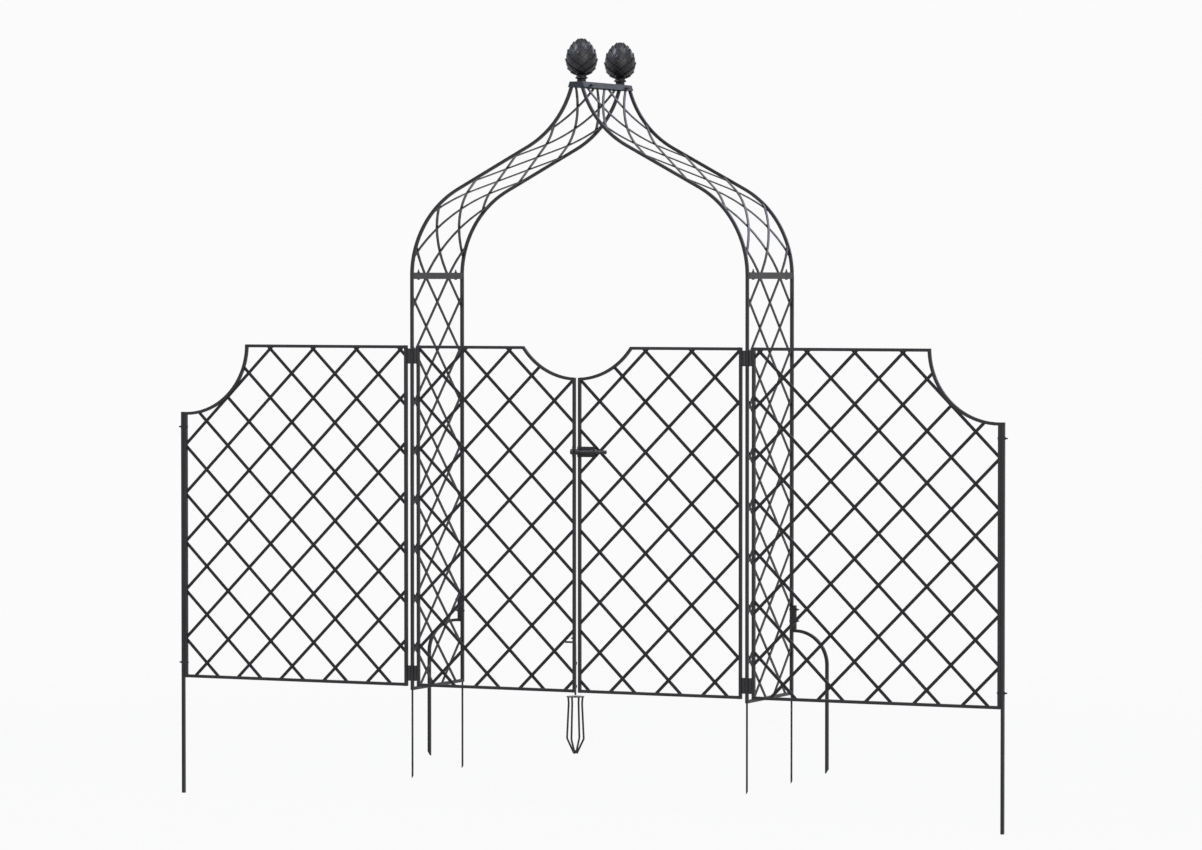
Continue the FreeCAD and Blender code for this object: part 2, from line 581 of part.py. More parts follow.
# Finials: a turned neck and collar with a stud through the cap, under a pine cone. Each
# row of the cone's scales is a flared ring whose upper edge is cut to a zigzag, and the
# rows stand inside one another, half a scale apart.


def ring_outline(sketch, points):
    """A closed outline through bound points."""
    spots = [Vector(number(x) if x != "0" else 0, level(z)) for x, z in points]
    count = len(points)
    for k in range(count):
        sketch.addGeometry(Part.LineSegment(spots[k], spots[(k + 1) % count]))
    for k in range(count):
        sketch.addConstraint(Sketcher.Constraint("Coincident", k, 2, (k + 1) % count, 1))
    for k, (x, z) in enumerate(points):
        if x == "0":
            sketch.addConstraint(Sketcher.Constraint("PointOnObject", k, 1, -2))
        else:
            out = Sketcher.Constraint("DistanceX", -1, 1, k, 1, spots[k].x)
            dimension(sketch, "Radius%d" % k, out, x)
        if z == "0":
            sketch.addConstraint(Sketcher.Constraint("PointOnObject", k, 1, -1))
        elif z.startswith("0 - "):
            down = Sketcher.Constraint("DistanceY", k, 1, -1, 1, -spots[k].y)
            dimension(sketch, "Depth%d" % k, down, z[4:])
        else:
            up = Sketcher.Constraint("DistanceY", -1, 1, k, 1, spots[k].y)
            dimension(sketch, "Height%d" % k, up, z)


def level(z):
    if z.startswith("0 - "):
        return -number(z[4:])
    return 0 if z == "0" else number(z)


def turned(name, points):
    """A body of revolution about the upright axis."""
    body = doc.addObject("PartDesign::Body", name)
    sketch = sketch_on(body, name + "Outline", "XZ_Plane")
    ring_outline(sketch, points)
    solid = body.newObject("PartDesign::Revolution", name + "Turned")
    solid.Profile = sketch
    solid.ReferenceAxis = (sketch, ["V_Axis"])
    solid.Angle = 360
    return body


def scale_row(row):
    """A ring of scales: a flared ring with notches between the tips."""
    outer = [("%s_radius_%d" % (name, row), "%s_height_%d" % (name, row))
             for name in ("foot", "middle", "tip")]
    tip_radius, tip = outer[-1]
    body = turned("Scales%d" % row, [("0", outer[0][1])] + outer + [("0", tip)])
    valley = "tip_height_%d" % (row - 1) if row else "waist_height"
    half_width = number(tip_radius) * math.sin(math.pi / SCALES_ROUND)
    low, high = number(valley), number(tip)
    corners = [Vector(0, low), Vector(half_width, high), Vector(half_width, 2 * high),
               Vector(-half_width, 2 * high), Vector(-half_width, high)]
    sketch = sketch_on(body, "Notch%d" % row, "XZ_Plane")
    for k in range(5):
        sketch.addGeometry(Part.LineSegment(corners[k], corners[(k + 1) % 5]))
    for k in range(5):
        sketch.addConstraint(Sketcher.Constraint("Coincident", k, 2, (k + 1) % 5, 1))
    sketch.addConstraint(Sketcher.Constraint("Vertical", 1))
    sketch.addConstraint(Sketcher.Constraint("PointOnObject", 0, 1, -2))
    sketch.addConstraint(Sketcher.Constraint("Symmetric", 0, 2, 3, 2, -2))
    sketch.addConstraint(Sketcher.Constraint("Symmetric", 1, 2, 2, 2, -2))
    up = Sketcher.Constraint("DistanceY", -1, 1, 0, 1, low)
    dimension(sketch, "Valley", up, valley)
    up = Sketcher.Constraint("DistanceY", -1, 1, 0, 2, high)
    dimension(sketch, "Tip", up, tip)
    up = Sketcher.Constraint("DistanceY", -1, 1, 1, 2, 2 * high)
    dimension(sketch, "Above", up, "2 * " + tip)
    wide = Sketcher.Constraint("DistanceX", 3, 2, 0, 2, 2 * half_width)
    dimension(sketch, "Between", wide,
              "2 * %s * sin(180 / %d)" % (tip_radius, SCALES_ROUND))
    notch = body.newObject("PartDesign::Pocket", "Cut%d" % row)
    notch.Profile = sketch
    bind(notch, {"Length": "2 * cone_radius"})
    pattern = body.newObject("PartDesign::PolarPattern", "Round%d" % row)
    pattern.Originals = [notch]
    pattern.Axis = (sketch, ["V_Axis"])
    pattern.Angle = 360
    pattern.Occurrences = SCALES_ROUND
    body.Tip = pattern
    return body


core = turned("FinialCore", [
    ("0", "0 - stud_length"), ("stud_radius", "0 - stud_length"), ("stud_radius", "0"),
    ("neck_radius", "0"), ("neck_radius", "neck_height"), ("collar_radius", "collar_height"),
    ("waist_radius", "waist_height"), ("waist_radius", "cone_widest"),
    ("bud_radius", "tip_height_%d" % (SCALE_ROWS - 2)), ("bud_radius", "bud_shoulder"),
    ("0", "cone_top")])
put(core, y="finial_inset", z="cap_top")
rows = []
for row in range(SCALE_ROWS):
    spin = number("scale_turn") + row * 180 / SCALES_ROUND
    rows.append(put(scale_row(row), "0", "finial_inset", "cap_top",
                    Rotation(Vector(0, 0, 1), spin)))
front = joined(core, *rows)
node(front, "front_finial")
node(put(group(front), y="rear_finial_y - finial_inset"), "rear_finial")


def hexagon(radius, height, bore, x, y, z, turn=UPRIGHT):
    """A nut on its axis."""
    prism = doc.addObject("Part::Prism", "Hexagon")
    prism.Polygon = 6
    put(bind(prism, {"Circumradius": radius, "Height": height}), x, y, z, turn)
    return cut(prism, rod(bore, height, x, y, z, turn))


stud_nut_z = "cap_inner_top - stud_nut_height"
node(group(*[hexagon("stud_nut_radius", "stud_nut_height", "stud_radius + thread_clearance",
                     "0", y, stud_nut_z) for y in ("finial_inset", "rear_finial_y")]),
     "finial_nuts")

# Bolts, nuts and spacers. A bolt starts at the seat of its head and runs along its axis.


def bolt(x, y, z, grip, turn=UPRIGHT):
    head = doc.addObject("Part::Cone", "Head")
    bind(head, {"Radius1": "bolt_head_radius", "Radius2": "bolt_crown",
                "Height": "bolt_head_height"})
    flip = Rotation(Vector(0, 1, 0), -90) if turn is ALONG_X else Rotation(Vector(1, 0, 0), 180)
    put(head, x, y, z, flip)
    return joined(head, rod("bolt_radius", grip + " + bolt_end", x, y, z, turn))


def nut(x, y, z, turn=UPRIGHT):
    bore = "bolt_radius + thread_clearance"
    return hexagon("nut_radius", "nut_height", bore, x, y, z, turn)


def spacer(x, y, z, turn=UPRIGHT):
    ring = rod("spacer_radius", "bolted_gap", x, y, z, turn)
    return cut(ring, rod("hole_radius", "bolted_gap", x, y, z, turn))


joint_bolts, ridge_bolts, wing_bolts, brace_bolts = [], [], [], []
nuts, spacers = [], []


def across(x, y, z, grip, kept, mirrored, with_spacer=True):
    """A bolt that points outwards along X, with its nut and its spacer."""
    pieces = [bolt(x, y, z, grip, ALONG_X), nut("%s + %s" % (x, grip), y, z, ALONG_X)]
    if with_spacer:
        pieces.append(spacer(x + " + bar_side", y, z, ALONG_X))
    if mirrored:
        for piece in pieces:
            piece.Placement = Placement(Vector(), HALF_TURN)
    kept.append(pieces[0])
    nuts.append(pieces[1])
    spacers.extend(pieces[2:])


for side, turn in SIDES:
    x = "post_x" if side == "right" else "0 - post_x"
    for y in ("joint_bolt_inset", "rear_bolt_y"):
        joint_bolts.append(bolt(x, y, "low_bar_z", "grip"))
        spacers.append(spacer(x, y, "post_height"))
        nuts.append(nut(x, y, "low_bar_z + grip"))
    mirrored = side == "left"
    rear = "0 - arch_depth" if mirrored else "arch_depth"
    for z in BRACE_BOLTS:
        across("post_x - half_bar", rear, z, "grip", brace_bolts, mirrored)
    for z in WING_BOLTS:
        across("outer_stile_x - half_bar", "0", z, "grip", wing_bolts, mirrored)
for y in ("joint_bolt_inset", "rear_bolt_y"):
    across("0 - ridge_head_x", y, "ridge_bolt_z", "ridge_grip", ridge_bolts, False, False)
node(group(*joint_bolts), "joint_bolts")
node(group(*ridge_bolts), "ridge_bolts")
node(group(*wing_bolts), "wing_bolts")
node(group(*brace_bolts), "brace_bolts")
node(group(*nuts), "hex_nuts")
node(group(*spacers), "spacer_washers")

# Ground braces: a flange bolted to the rear post, and a stake that bends down from it.

for side, turn in SIDES:
    rear = "0 - arch_depth" if side == "left" else "arch_depth"
    stay = hooked("Brace" + side.title(), square_profile, "brace_rise", "brace_arm",
                  "brace_radius")
    put(stay, "brace_x", rear, "0 - brace_depth")
    flange = upright("brace_flange_x", rear, "brace_foot_z", "brace_top_z - brace_foot_z")
    flange = bored_x(flange, "brace_flange_x", rear, BRACE_BOLTS)
    stake = slant(stay, "brace_x", rear, "0 - brace_depth", "half_bar")
    node(joined(flange, stake), side + "_ground_brace", turn)

# Side panels, called wings, hung on the front posts and bolted to end posts in the ground.


def scoop(name):
    """A bar that drops from the origin, bends through a quarter and runs level to +X."""
    body = doc.addObject("PartDesign::Body", name)
    section = sketch_on(body, name + "Section", "XY_Plane")
    square_profile(section)
    radius, reach = number("wing_arch_radius"), number("wing_scoop_reach")
    path = sketch_on(body, name + "Path", "XZ_Plane")
    circle = Part.Circle(Vector(radius, 0), Vector(0, 0, 1), radius)
    path.addGeometry(Part.ArcOfCircle(circle, math.pi, 1.5 * math.pi))
    path.addGeometry(Part.LineSegment(Vector(radius, -radius), Vector(reach, -radius)))
    path.addConstraint(Sketcher.Constraint("Coincident", 0, 1, -1, 1))
    path.addConstraint(Sketcher.Constraint("PointOnObject", 0, 3, -1))
    path.addConstraint(Sketcher.Constraint("Tangent", 0, 2, 1, 1))
    path.addConstraint(Sketcher.Constraint("Horizontal", 1))
    dimension(path, "Bend", Sketcher.Constraint("Radius", 0, radius), "wing_arch_radius")
    length = Sketcher.Constraint("DistanceX", -1, 1, 1, 2, reach)
    dimension(path, "Reach", length, "wing_scoop_reach")
    return swept(body, section, path)


for side, turn in SIDES:
    post = upright("end_post_x", "0", "0 - end_post_depth", "end_post_top + end_post_depth")
    post = bored_x(post, "end_post_x", "0", WING_BOLTS)
    node(post, side + "_end_post", turn)
    inner = upright("wing_stile_x", "0", "panel_low_z", "panel_height")
    outer = upright("outer_stile_x", "0", "panel_low_z", "outer_stile_top - panel_low_z")
    outer = bored_x(outer, "outer_stile_x", "0", WING_BOLTS)
    node(group(inner, outer), side + "_wing_stiles", turn)
    start = "wing_stile_x + half_bar"
    low = crossbar(start, "panel_low_z", "outer_stile_x - wing_stile_x - bar_side")
    top = crossbar(start, "rail_under_z", "wing_scoop_x - wing_stile_x - half_bar")
    bend = put(scoop("Scoop" + side.title()), "wing_scoop_x", "0", "panel_top_z")
    node(group(low, joined(top, bend)), side + "_wing_rails", turn)

# Gate leaves: the top rail dips over the meeting stiles in a hollow curve.


def dip(name):
    """A bar that starts level at the origin and curves up towards +X."""
    body = doc.addObject("PartDesign::Body", name)
    section = sketch_on(body, name + "Section", "YZ_Plane")
    square_profile(section)
    radius, reach = number("leaf_arch_radius"), number("leaf_arch_reach")
    path = sketch_on(body, name + "Path", "XZ_Plane")
    circle = Part.Circle(Vector(0, radius), Vector(0, 0, 1), radius)
    turned = math.asin(reach / radius)
    path.addGeometry(Part.ArcOfCircle(circle, 1.5 * math.pi, 1.5 * math.pi + turned))
    path.addConstraint(Sketcher.Constraint("Coincident", 0, 1, -1, 1))
    path.addConstraint(Sketcher.Constraint("PointOnObject", 0, 3, -2))
    dimension(path, "Bend", Sketcher.Constraint("Radius", 0, radius), "leaf_arch_radius")
    length = Sketcher.Constraint("DistanceX", -1, 1, 0, 2, reach)
    dimension(path, "Reach", length, "leaf_arch_reach")
    return swept(body, section, path)


for side, turn in SIDES:
    hinge = upright("leaf_stile_x", "0", "panel_low_z", "panel_height")
    meeting = upright("meeting_x", "0", "panel_low_z", "leaf_low_z + half_bar - panel_low_z")
    node(group(hinge, meeting), side + "_leaf_stiles", turn)
    start = "meeting_x + half_bar"
    low = crossbar(start, "panel_low_z", "leaf_stile_x - meeting_x - bar_side")
    top = crossbar("leaf_corner_x", "rail_under_z", "leaf_stile_x - half_bar - leaf_corner_x")
    hollow = rod("leaf_arch_radius - half_bar", "2 * bar_side", "0", "0 - bar_side",
                 "leaf_arch_z", ALONG_Y)
    top = cut(top, hollow)
    curve = put(dip("Dip" + side.title()), "0", "0", "leaf_low_z")
    window = block(start, "0 - bar_side", "panel_low_z", "leaf_stile_x", "2 * bar_side",
                   "rail_under_z - panel_low_z")
    node(group(low, joined(top, within(curve, window))), side + "_leaf_rails", turn)

# Hinges: a barrel with a pin on the post, and a bored barrel on the stile that lifts off.


def pintle(axis, z, tab_x):
    barrel = rod("barrel_radius", "knuckle", axis, "0", z)
    pin = rod("pin_radius", "knuckle + pin_length", axis, "0", z)
    tab = block(tab_x, "0 - hinge_tab / 2", z, "hinge_gap / 2", "hinge_tab", "knuckle")
    return joined(barrel, pin, tab)


def eye(axis, z, tab_x):
    barrel = rod("barrel_radius", "knuckle", axis, "0", z)
    tab = block(tab_x, "0 - hinge_tab / 2", z, "hinge_gap / 2", "hinge_tab", "knuckle")
    return cut(joined(barrel, tab), rod("eye_bore", "knuckle", axis, "0", z))


for side, turn in SIDES:
    leaf, wing = "leaf_axis_x", "wing_axis_x"
    pintles = [pintle(leaf, z, leaf) for z in ("low_hinge_z", "high_hinge_z")]
    node(group(*pintles), side + "_gate_pintles", turn)
    eyes = [eye(leaf, z + " + knuckle_gap", leaf + " - hinge_gap / 2")
            for z in ("eye_low_z", "eye_high_z")]
    node(group(*eyes), side + "_leaf_hinge_eyes", turn)
    pintles = [pintle(wing, z, wing + " - hinge_gap / 2")
               for z in ("low_hinge_z", "high_hinge_z")]
    node(group(*pintles), side + "_wing_pintles", turn)
    eyes = [eye(wing, z, wing) for z in ("eye_low_z", "eye_high_z")]
    node(group(*eyes), side + "_wing_hinge_eyes", turn)

# Latch: a round bolt in two straps on the right leaf, and a keeper loop on the left one.


def strap(x, seat, width, height):
    """A bent strap over the bolt, with an ear above and an ear below."""
    over = "latch_y - " + seat
    foot = "0 - latch_y"
    walls = block(x, foot, "latch_z - strap_outer", width, over, "2 * strap_outer")
    bend = rod("strap_outer", width, x, foot, "latch_z", ALONG_X)
    ears = block(x, "0 - %s - latch_sheet" % seat, "latch_z - %s / 2" % height, width,
                 "latch_sheet", height)
    room = block(x, foot, "latch_z - strap_inner", width, over, "2 * strap_inner")
    bore = rod("strap_inner", width, x, foot, "latch_z", ALONG_X)
    return cut(joined(walls, bend, ears), room, bore)


plate = block("latch_plate_start", "0 - latch_back", "latch_z - latch_plate_height / 2",
              "latch_plate_length", "latch_sheet", "latch_plate_height")
straps = [strap(x, "latch_back", "strap_width", "latch_plate_height")
          for x in ("latch_plate_start", "strap_far_x")]
node(joined(plate, *straps), "latch_plate")
node(strap("0 - meeting_x - half_bar", "half_bar", "bar_side", "latch_plate_height"),
     "latch_keeper")
bolt_rod = rod("latch_radius", "latch_length", "latch_tip_x", "0 - latch_y", "latch_z",
               ALONG_X)
node(bolt_rod, "latch_bolt")

# Drop bolt: a bent rod behind the left meeting stile, in two guides, over its socket.

rod_body = hooked("DropBolt", lambda sketch: round_profile(sketch, "drop_radius"),
                  "drop_rise", "drop_reach", "drop_bend")
put(rod_body, "0 - meeting_x", "drop_y", "drop_foot_z")
rod_body.Label = "drop_bolt"
sub_parts.append(rod_body)


def guide(z):
    axis = "0 - meeting_x"
    legs = block(axis + " - guide_outer", "half_bar", z, "2 * guide_outer",
                 "drop_y - half_bar", "guide_height")
    bow = rod("guide_outer", "guide_height", axis, "drop_y", z)
    stile = block(axis + " - bar_side", "0 - half_bar", z, "2 * bar_side", "bar_side",
                  "guide_height")
    gap = block(axis + " - guide_inner", "0", z, "2 * guide_inner", "drop_y", "guide_height")
    bore = rod("guide_inner", "guide_height", axis, "drop_y", z)
    return cut(cut(joined(legs, bow), stile), joined(gap, bore))


peg = rod("rest_pin_radius", "rest_pin_length", "0 - meeting_x - half_bar - rest_pin_length",
          "0", "rest_pin_z", ALONG_X)
node(group(guide("guide_low_z"), guide("guide_high_z"), peg), "drop_bolt_guides")

# Ground socket: a ring at ground level on four rods that meet in a point below.


def ground_socket():
    body = doc.addObject("PartDesign::Body", "Socket")
    face = sketch_on(body, "SocketPlate", "XY_Plane")
    for k, radius in enumerate(("socket_radius", "socket_hole")):
        face.addGeometry(Part.Circle(Vector(), Vector(0, 0, 1), number(radius)))
        face.addConstraint(Sketcher.Constraint("Coincident", k, 3, -1, 1))
        rim = Sketcher.Constraint("Radius", k, number(radius))
        dimension(face, "Rim%d" % k, rim, radius)
    plate = body.newObject("PartDesign::Pad", "Plate")
    plate.Profile = face
    plate.Reversed = True
    bind(plate, {"Length": "socket_sheet"})
    section = sketch_on(body, "SocketRod", "XY_Plane")
    section.addGeometry(Part.Circle(Vector(number("socket_top"), 0), Vector(0, 0, 1),
                                    number("socket_rod")))
    section.addConstraint(Sketcher.Constraint("PointOnObject", 0, 3, -1))
    offset = Sketcher.Constraint("DistanceX", -1, 1, 0, 3, number("socket_top"))
    dimension(section, "Offset", offset, "socket_top")
    thickness = Sketcher.Constraint("Radius", 0, number("socket_rod"))
    dimension(section, "Rod", thickness, "socket_rod")
    section.setExpression("AttachmentOffset.Base.z", link("0 - socket_sheet / 2"))
    tip_face = sketch_on(body, "SocketTip", "XY_Plane")
    tip_face.addGeometry(Part.Circle(Vector(), Vector(0, 0, 1), number("socket_point")))
    tip_face.addConstraint(Sketcher.Constraint("Coincident", 0, 3, -1, 1))
    rim = Sketcher.Constraint("Radius", 0, number("socket_point"))
    dimension(tip_face, "Rim", rim, "socket_point")
    tip_face.setExpression("AttachmentOffset.Base.z", link("0 - socket_tip_z"))
    corners = [Vector(number("socket_top"), -number("socket_sheet") / 2),
               Vector(number("socket_neck"), -number("socket_neck_z")),
               Vector(number("socket_belly"), -number("socket_belly_z")),
               Vector(number("socket_tip"), -number("socket_tip_z"))]
    radius = number("socket_bend")
    path = sketch_on(body, "SocketPath", "XZ_Plane")
    here, links = corners[0], 0
    for k in (1, 2):
        before = (corners[k - 1] - corners[k]).normalize()
        after = (corners[k + 1] - corners[k]).normalize()
        half = before.getAngle(after) / 2
        away = radius / math.tan(half)
        first, last = corners[k] + before * away, corners[k] + after * away
        centre = corners[k] + (before + after).normalize() * (radius / math.sin(half))
        middle = centre + (corners[k] - centre).normalize() * radius
        path.addGeometry(Part.LineSegment(here, first))
        path.addGeometry(Part.Arc(first, middle, last))
        here = last
    path.addGeometry(Part.LineSegment(here, corners[3]))
    top = Sketcher.Constraint("DistanceX", -1, 1, 0, 1, corners[0].x)
    dimension(path, "Top", top, "socket_top")
    tip = Sketcher.Constraint("DistanceX", -1, 1, 4, 2, corners[3].x)
    dimension(path, "Tip", tip, "socket_tip")
    depth = Sketcher.Constraint("DistanceY", 4, 2, -1, 1, -corners[3].y)
    dimension(path, "Depth", depth, "socket_tip_z")
    swept(body, section, path)
    bent_rod = body.Tip
    plug = body.newObject("PartDesign::Pad", "Plug")
    plug.Profile = tip_face
    bind(plug, {"Length": "socket_point_height"})
    pattern = body.newObject("PartDesign::PolarPattern", "FourRods")
    pattern.Originals = [bent_rod]
    pattern.Axis = (section, ["N_Axis"])
    pattern.Angle = 360
    pattern.Occurrences = 4
    body.Tip = pattern
    put(body, "0 - meeting_x", "drop_y", "0")
    body.Label = "ground_socket"
    sub_parts.append(body)


ground_socket()
doc.recompute()

# Lattices. Flat panels are filled with bars at 45 degrees in two layers that touch, and
# each bar stops at the inner faces of its frame.


def crossing_offsets(low, high, through):
    """Positions at every pitch through a given one, from low to high."""
    pitch = number("lattice_pitch")
    first = math.ceil((low - through) / pitch)
    last = math.floor((high - through) / pitch)
    return [through + k * pitch for k in range(first, last + 1)]


def flat_lattice(label, window, cross, turn):
    """Bars in the XZ plane that fill a window, through a crossing at (x, z)."""
    width, sheet_depth = number("lattice_width"), number("lattice_thickness")
    box = window.BoundBox
    reach = box.XLength + box.ZLength
    bars = []
    for lean, y in ((1, -sheet_depth), (-1, 0)):
        foot = cross.x - lean * cross.z
        spots = [box.XMin - lean * box.ZMin, box.XMax - lean * box.ZMax,
                 box.XMin - lean * box.ZMax, box.XMax - lean * box.ZMin]
        for shift in crossing_offsets(min(spots), max(spots), foot):
            bar = Part.makeBox(width, sheet_depth, 2 * reach, Vector(-width / 2, y, -reach))
            bar.rotate(Vector(), Vector(0, 1, 0), 45 * lean)
            middle_z = box.Center.z
            bar.translate(Vector(shift + lean * middle_z, 0, middle_z))
            for solid in bar.common(window).Solids:
                if solid.Volume > number("shortest_bar") * width * sheet_depth:
                    bars.append(solid)
    feature = doc.addObject("Part::Feature", label.title().replace("_", ""))
    feature.Shape = Part.makeCompound(bars)
    return node(feature, label, turn)


def window_box(low, high):
    thick = number("bar_side")
    return Part.makeBox(high.x - low.x, thick, high.z - low.z, low - Vector(0, thick / 2, 0))


half = number("half_bar")
low_z, high_z = number("rail_low_top"), number("rail_under_z")
leaf_window = window_box(Vector(number("meeting_x") + half, 0, low_z),
                         Vector(number("leaf_stile_x") - half, 0, high_z))
dip_face = Part.makeCylinder(number("leaf_arch_radius") + half, 4 * half,
                             Vector(0, -2 * half, number("leaf_arch_z")), Vector(0, 1, 0))
leaf_window = leaf_window.cut(dip_face)
leaf_cross = Vector(number("leaf_cross_x"), 0, number("panel_cross_z"))
wing_window = window_box(Vector(number("wing_stile_x") + half, 0, low_z),
                         Vector(number("outer_stile_x") - half, 0, high_z))
scoop_face = Part.makeCylinder(number("wing_arch_radius") + half, 4 * half,
                               Vector(number("wing_arch_x"), -2 * half,
                                      number("panel_top_z")),
                               Vector(0, 1, 0))
beyond = Part.makeBox(2 * half + number("wing_run"), 4 * half, high_z,
                      Vector(number("wing_arch_x"), -2 * half, number("outer_stile_top")))
wing_window = wing_window.cut(scoop_face).cut(beyond)
wing_cross = Vector(number("wing_stile_x") + number("wing_cross"), 0,
                    number("panel_cross_z"))
side_window = window_box(Vector(number("inner_y"), 0, number("bar_side")),
                         Vector(number("inner_y") + number("inner_depth"), 0,
                                number("low_bar_z")))
side_cross = Vector(number("side_cross_y"), 0, number("side_cross_z"))
for side, turn in SIDES:
    flat_lattice(side + "_leaf_lattice", leaf_window, leaf_cross, turn)
    flat_lattice(side + "_wing_lattice", wing_window, wing_cross, turn)
    panel = flat_lattice(side + "_side_lattice", side_window, side_cross, UPRIGHT)
    sign = 1 if side == "right" else -1
    facing = Rotation(Vector(0, 0, 1), 90)
    panel.Placement = Placement(Vector(sign * number("post_x"), 0, 0), facing)
    panel.setExpression("Placement.Base.x", link("%d * post_x" % sign))

# The ogee top has the same lattice, bent over its curve. A bar is laid out flat, with
# its distance along the ogee as one direction and Y as the other, and then folded at
# short steps, so that every fold lies on the curve.


class Ogee:
    """The middle line of an ogee bar, by the distance from its foot."""

    def __init__(self):
        self.low, self.top = number("low_radius"), number("top_radius")
        self.turn = math.radians(number("ogee_turn"))
        self.lean = math.radians(number("ridge_lean"))
        self.run = number("ogee_straight")
        self.bend = self.low * self.turn
        self.length = self.bend + self.run + self.top * (self.turn - self.lean)
        self.foot = Vector(number("post_x"), 0, number("ogee_foot"))

    def spot(self, along, y, out):
        """A point at a distance along the curve, and out from it."""
        turned = min(along / self.low, self.turn)
        normal = Vector(math.cos(turned), 0, math.sin(turned))
        point = self.foot + (normal - Vector(1, 0, 0)) * self.low
        if along > self.bend:
            straight = min(along - self.bend, self.run)
            point += Vector(-normal.z, 0, normal.x) * straight
        if along > self.bend + self.run:
            back = self.turn - (along - self.bend - self.run) / self.top
            centre = point + normal * self.top
            normal = Vector(math.cos(back), 0, math.sin(back))
            point = centre - normal * self.top
        return point + normal * out + Vector(0, y, 0)


def folded_bar(ogee, start, lean, limits, layer):
    """One lattice bar from the front frame to the rear one, inside its limits."""
    near = number("inner_y")
    far = near + number("inner_depth")
    half_span = number("lattice_width") / math.sqrt(2)
    tip = number("bar_tip")
    low, high = limits
    rate = number("ogee_pitch") / number("lattice_pitch")

    def span(y):
        middle = rate * (start + lean * (y - near))
        return max(middle - half_span, low), min(middle + half_span, high)

    def crossing(along):
        return near + (along / rate - start) / lean

    # The bar is cut where it starts, stops or meets a limit, and folded in between.
    cuts = {near, far}
    for limit in limits:
        for edge in (-half_span, half_span):
            cuts.add(crossing(limit - edge))
    cuts.add(crossing(low - half_span + tip))
    cuts.add(crossing(high + half_span - tip))
    cuts = sorted(y for y in cuts
                  if near <= y <= far and span(y)[1] - span(y)[0] >= tip * 0.999)
    if len(cuts) < 2 or cuts[-1] - cuts[0] < number("shortest_bar"):
        return None
    stations = []
    for a, b in zip(cuts, cuts[1:]):
        steps = max(1, round((b - a) / number("fold_length")))
        stations += [a + (b - a) * k / steps for k in range(steps)]
    stations.append(cuts[-1])
    wires = []
    for y in stations:
        if wires and y - last < 0.05:
            continue
        a, b = span(y)
        corners = [ogee.spot(a, y, layer[0]), ogee.spot(b, y, layer[0]),
                   ogee.spot(b, y, layer[1]), ogee.spot(a, y, layer[1])]
        wires.append(Part.makePolygon(corners + corners[:1]))
        last = y
    bar = Part.makeLoft(wires, True, True)
    return bar


ogee = Ogee()
skip = number("layer_gap") / 2
thickness = number("lattice_thickness")
layers = {1: (skip, skip + thickness), -1: (-skip - thickness, -skip)}
lower_limit = number("bar_side") / math.cos(number("bar_side") / number("low_radius")) + 0.1
lean = math.radians(number("ridge_lean"))
upper_limit = (ogee.length - (number("ridge_drop") + number("bar_side")) / math.cos(lean)
               - (skip + thickness) * math.tan(lean) - 0.1)
folded = []
for slope in (1, -1):
    cross = number("side_cross_y") - number("inner_y")
    reach = number("inner_depth")
    low = min(0, -slope * reach)
    high = ogee.length + max(0, -slope * reach)
    for start in crossing_offsets(low, high, -slope * cross):
        bar = folded_bar(ogee, start, slope, (lower_limit, upper_limit), layers[slope])
        if bar is not None:
            folded.append(bar)
for side, turn in SIDES:
    feature = doc.addObject("Part::Feature", side.title() + "OgeeLattice")
    feature.Shape = Part.makeCompound(folded)
    if side == "left":
        feature.Placement = Placement(Vector(0, number("arch_depth"), 0), turn)
        feature.setExpression("Placement.Base.y", link("arch_depth"))
    feature.Label = side + "_ogee_lattice"
    sub_parts.append(feature)

doc.recompute()
problems = []
for thing in doc.Objects:
    if "Invalid" in thing.State or "Error" in thing.State:
        problems.append("%s is %s: %s" % (thing.Label, thing.State, thing.getStatusString()))
for thing in sub_parts:
    if thing.Shape.isNull() or not thing.Shape.isValid():
        problems.append(thing.Label + " has no valid shape")
    elif not thing.Shape.Solids:
        problems.append(thing.Label + " has no solid")
if problems:
    raise SystemExit("\n".join(problems))
os.makedirs("parts", exist_ok=True)
for thing in sub_parts:
    thing.Shape.exportStep("parts/%s.step" % thing.Label)
    print("%-22s %3d solids %10.1f mm3" % (thing.Label, len(thing.Shape.Solids),
                                           thing.Shape.Volume))
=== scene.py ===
import bpy
import bmesh
import json
from math import cos, pi, radians, sin, sqrt
from mathutils import Matrix, Vector


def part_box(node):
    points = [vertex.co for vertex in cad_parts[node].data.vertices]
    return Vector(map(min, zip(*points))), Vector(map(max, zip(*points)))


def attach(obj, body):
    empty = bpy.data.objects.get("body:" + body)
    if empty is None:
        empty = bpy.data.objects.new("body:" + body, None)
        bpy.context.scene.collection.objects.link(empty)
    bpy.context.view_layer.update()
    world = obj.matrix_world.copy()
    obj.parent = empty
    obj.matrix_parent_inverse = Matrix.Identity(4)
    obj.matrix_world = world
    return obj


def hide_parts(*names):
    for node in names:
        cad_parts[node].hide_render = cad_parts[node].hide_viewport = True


# Garden arch with a gate, in painted steel bar. Metres, same frame as the CAD.

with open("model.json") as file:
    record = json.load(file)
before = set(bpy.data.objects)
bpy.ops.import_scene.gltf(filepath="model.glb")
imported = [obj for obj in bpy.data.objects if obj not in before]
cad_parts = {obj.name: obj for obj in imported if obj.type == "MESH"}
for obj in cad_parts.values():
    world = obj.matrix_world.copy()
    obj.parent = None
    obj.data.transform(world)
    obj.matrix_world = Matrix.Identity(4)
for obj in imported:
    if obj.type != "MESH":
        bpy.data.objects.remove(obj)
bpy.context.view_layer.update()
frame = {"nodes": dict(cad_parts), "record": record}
nodes = frame["nodes"]
print("frame loaded:", len(nodes), "nodes")


def srgb(code):
    parts = [int(code[i:i + 2], 16) / 255 for i in (1, 3, 5)]
    linear = [c / 12.92 if c <= 0.04045 else ((c + 0.055) / 1.055) ** 2.4 for c in parts]
    return (*linear, 1.0)


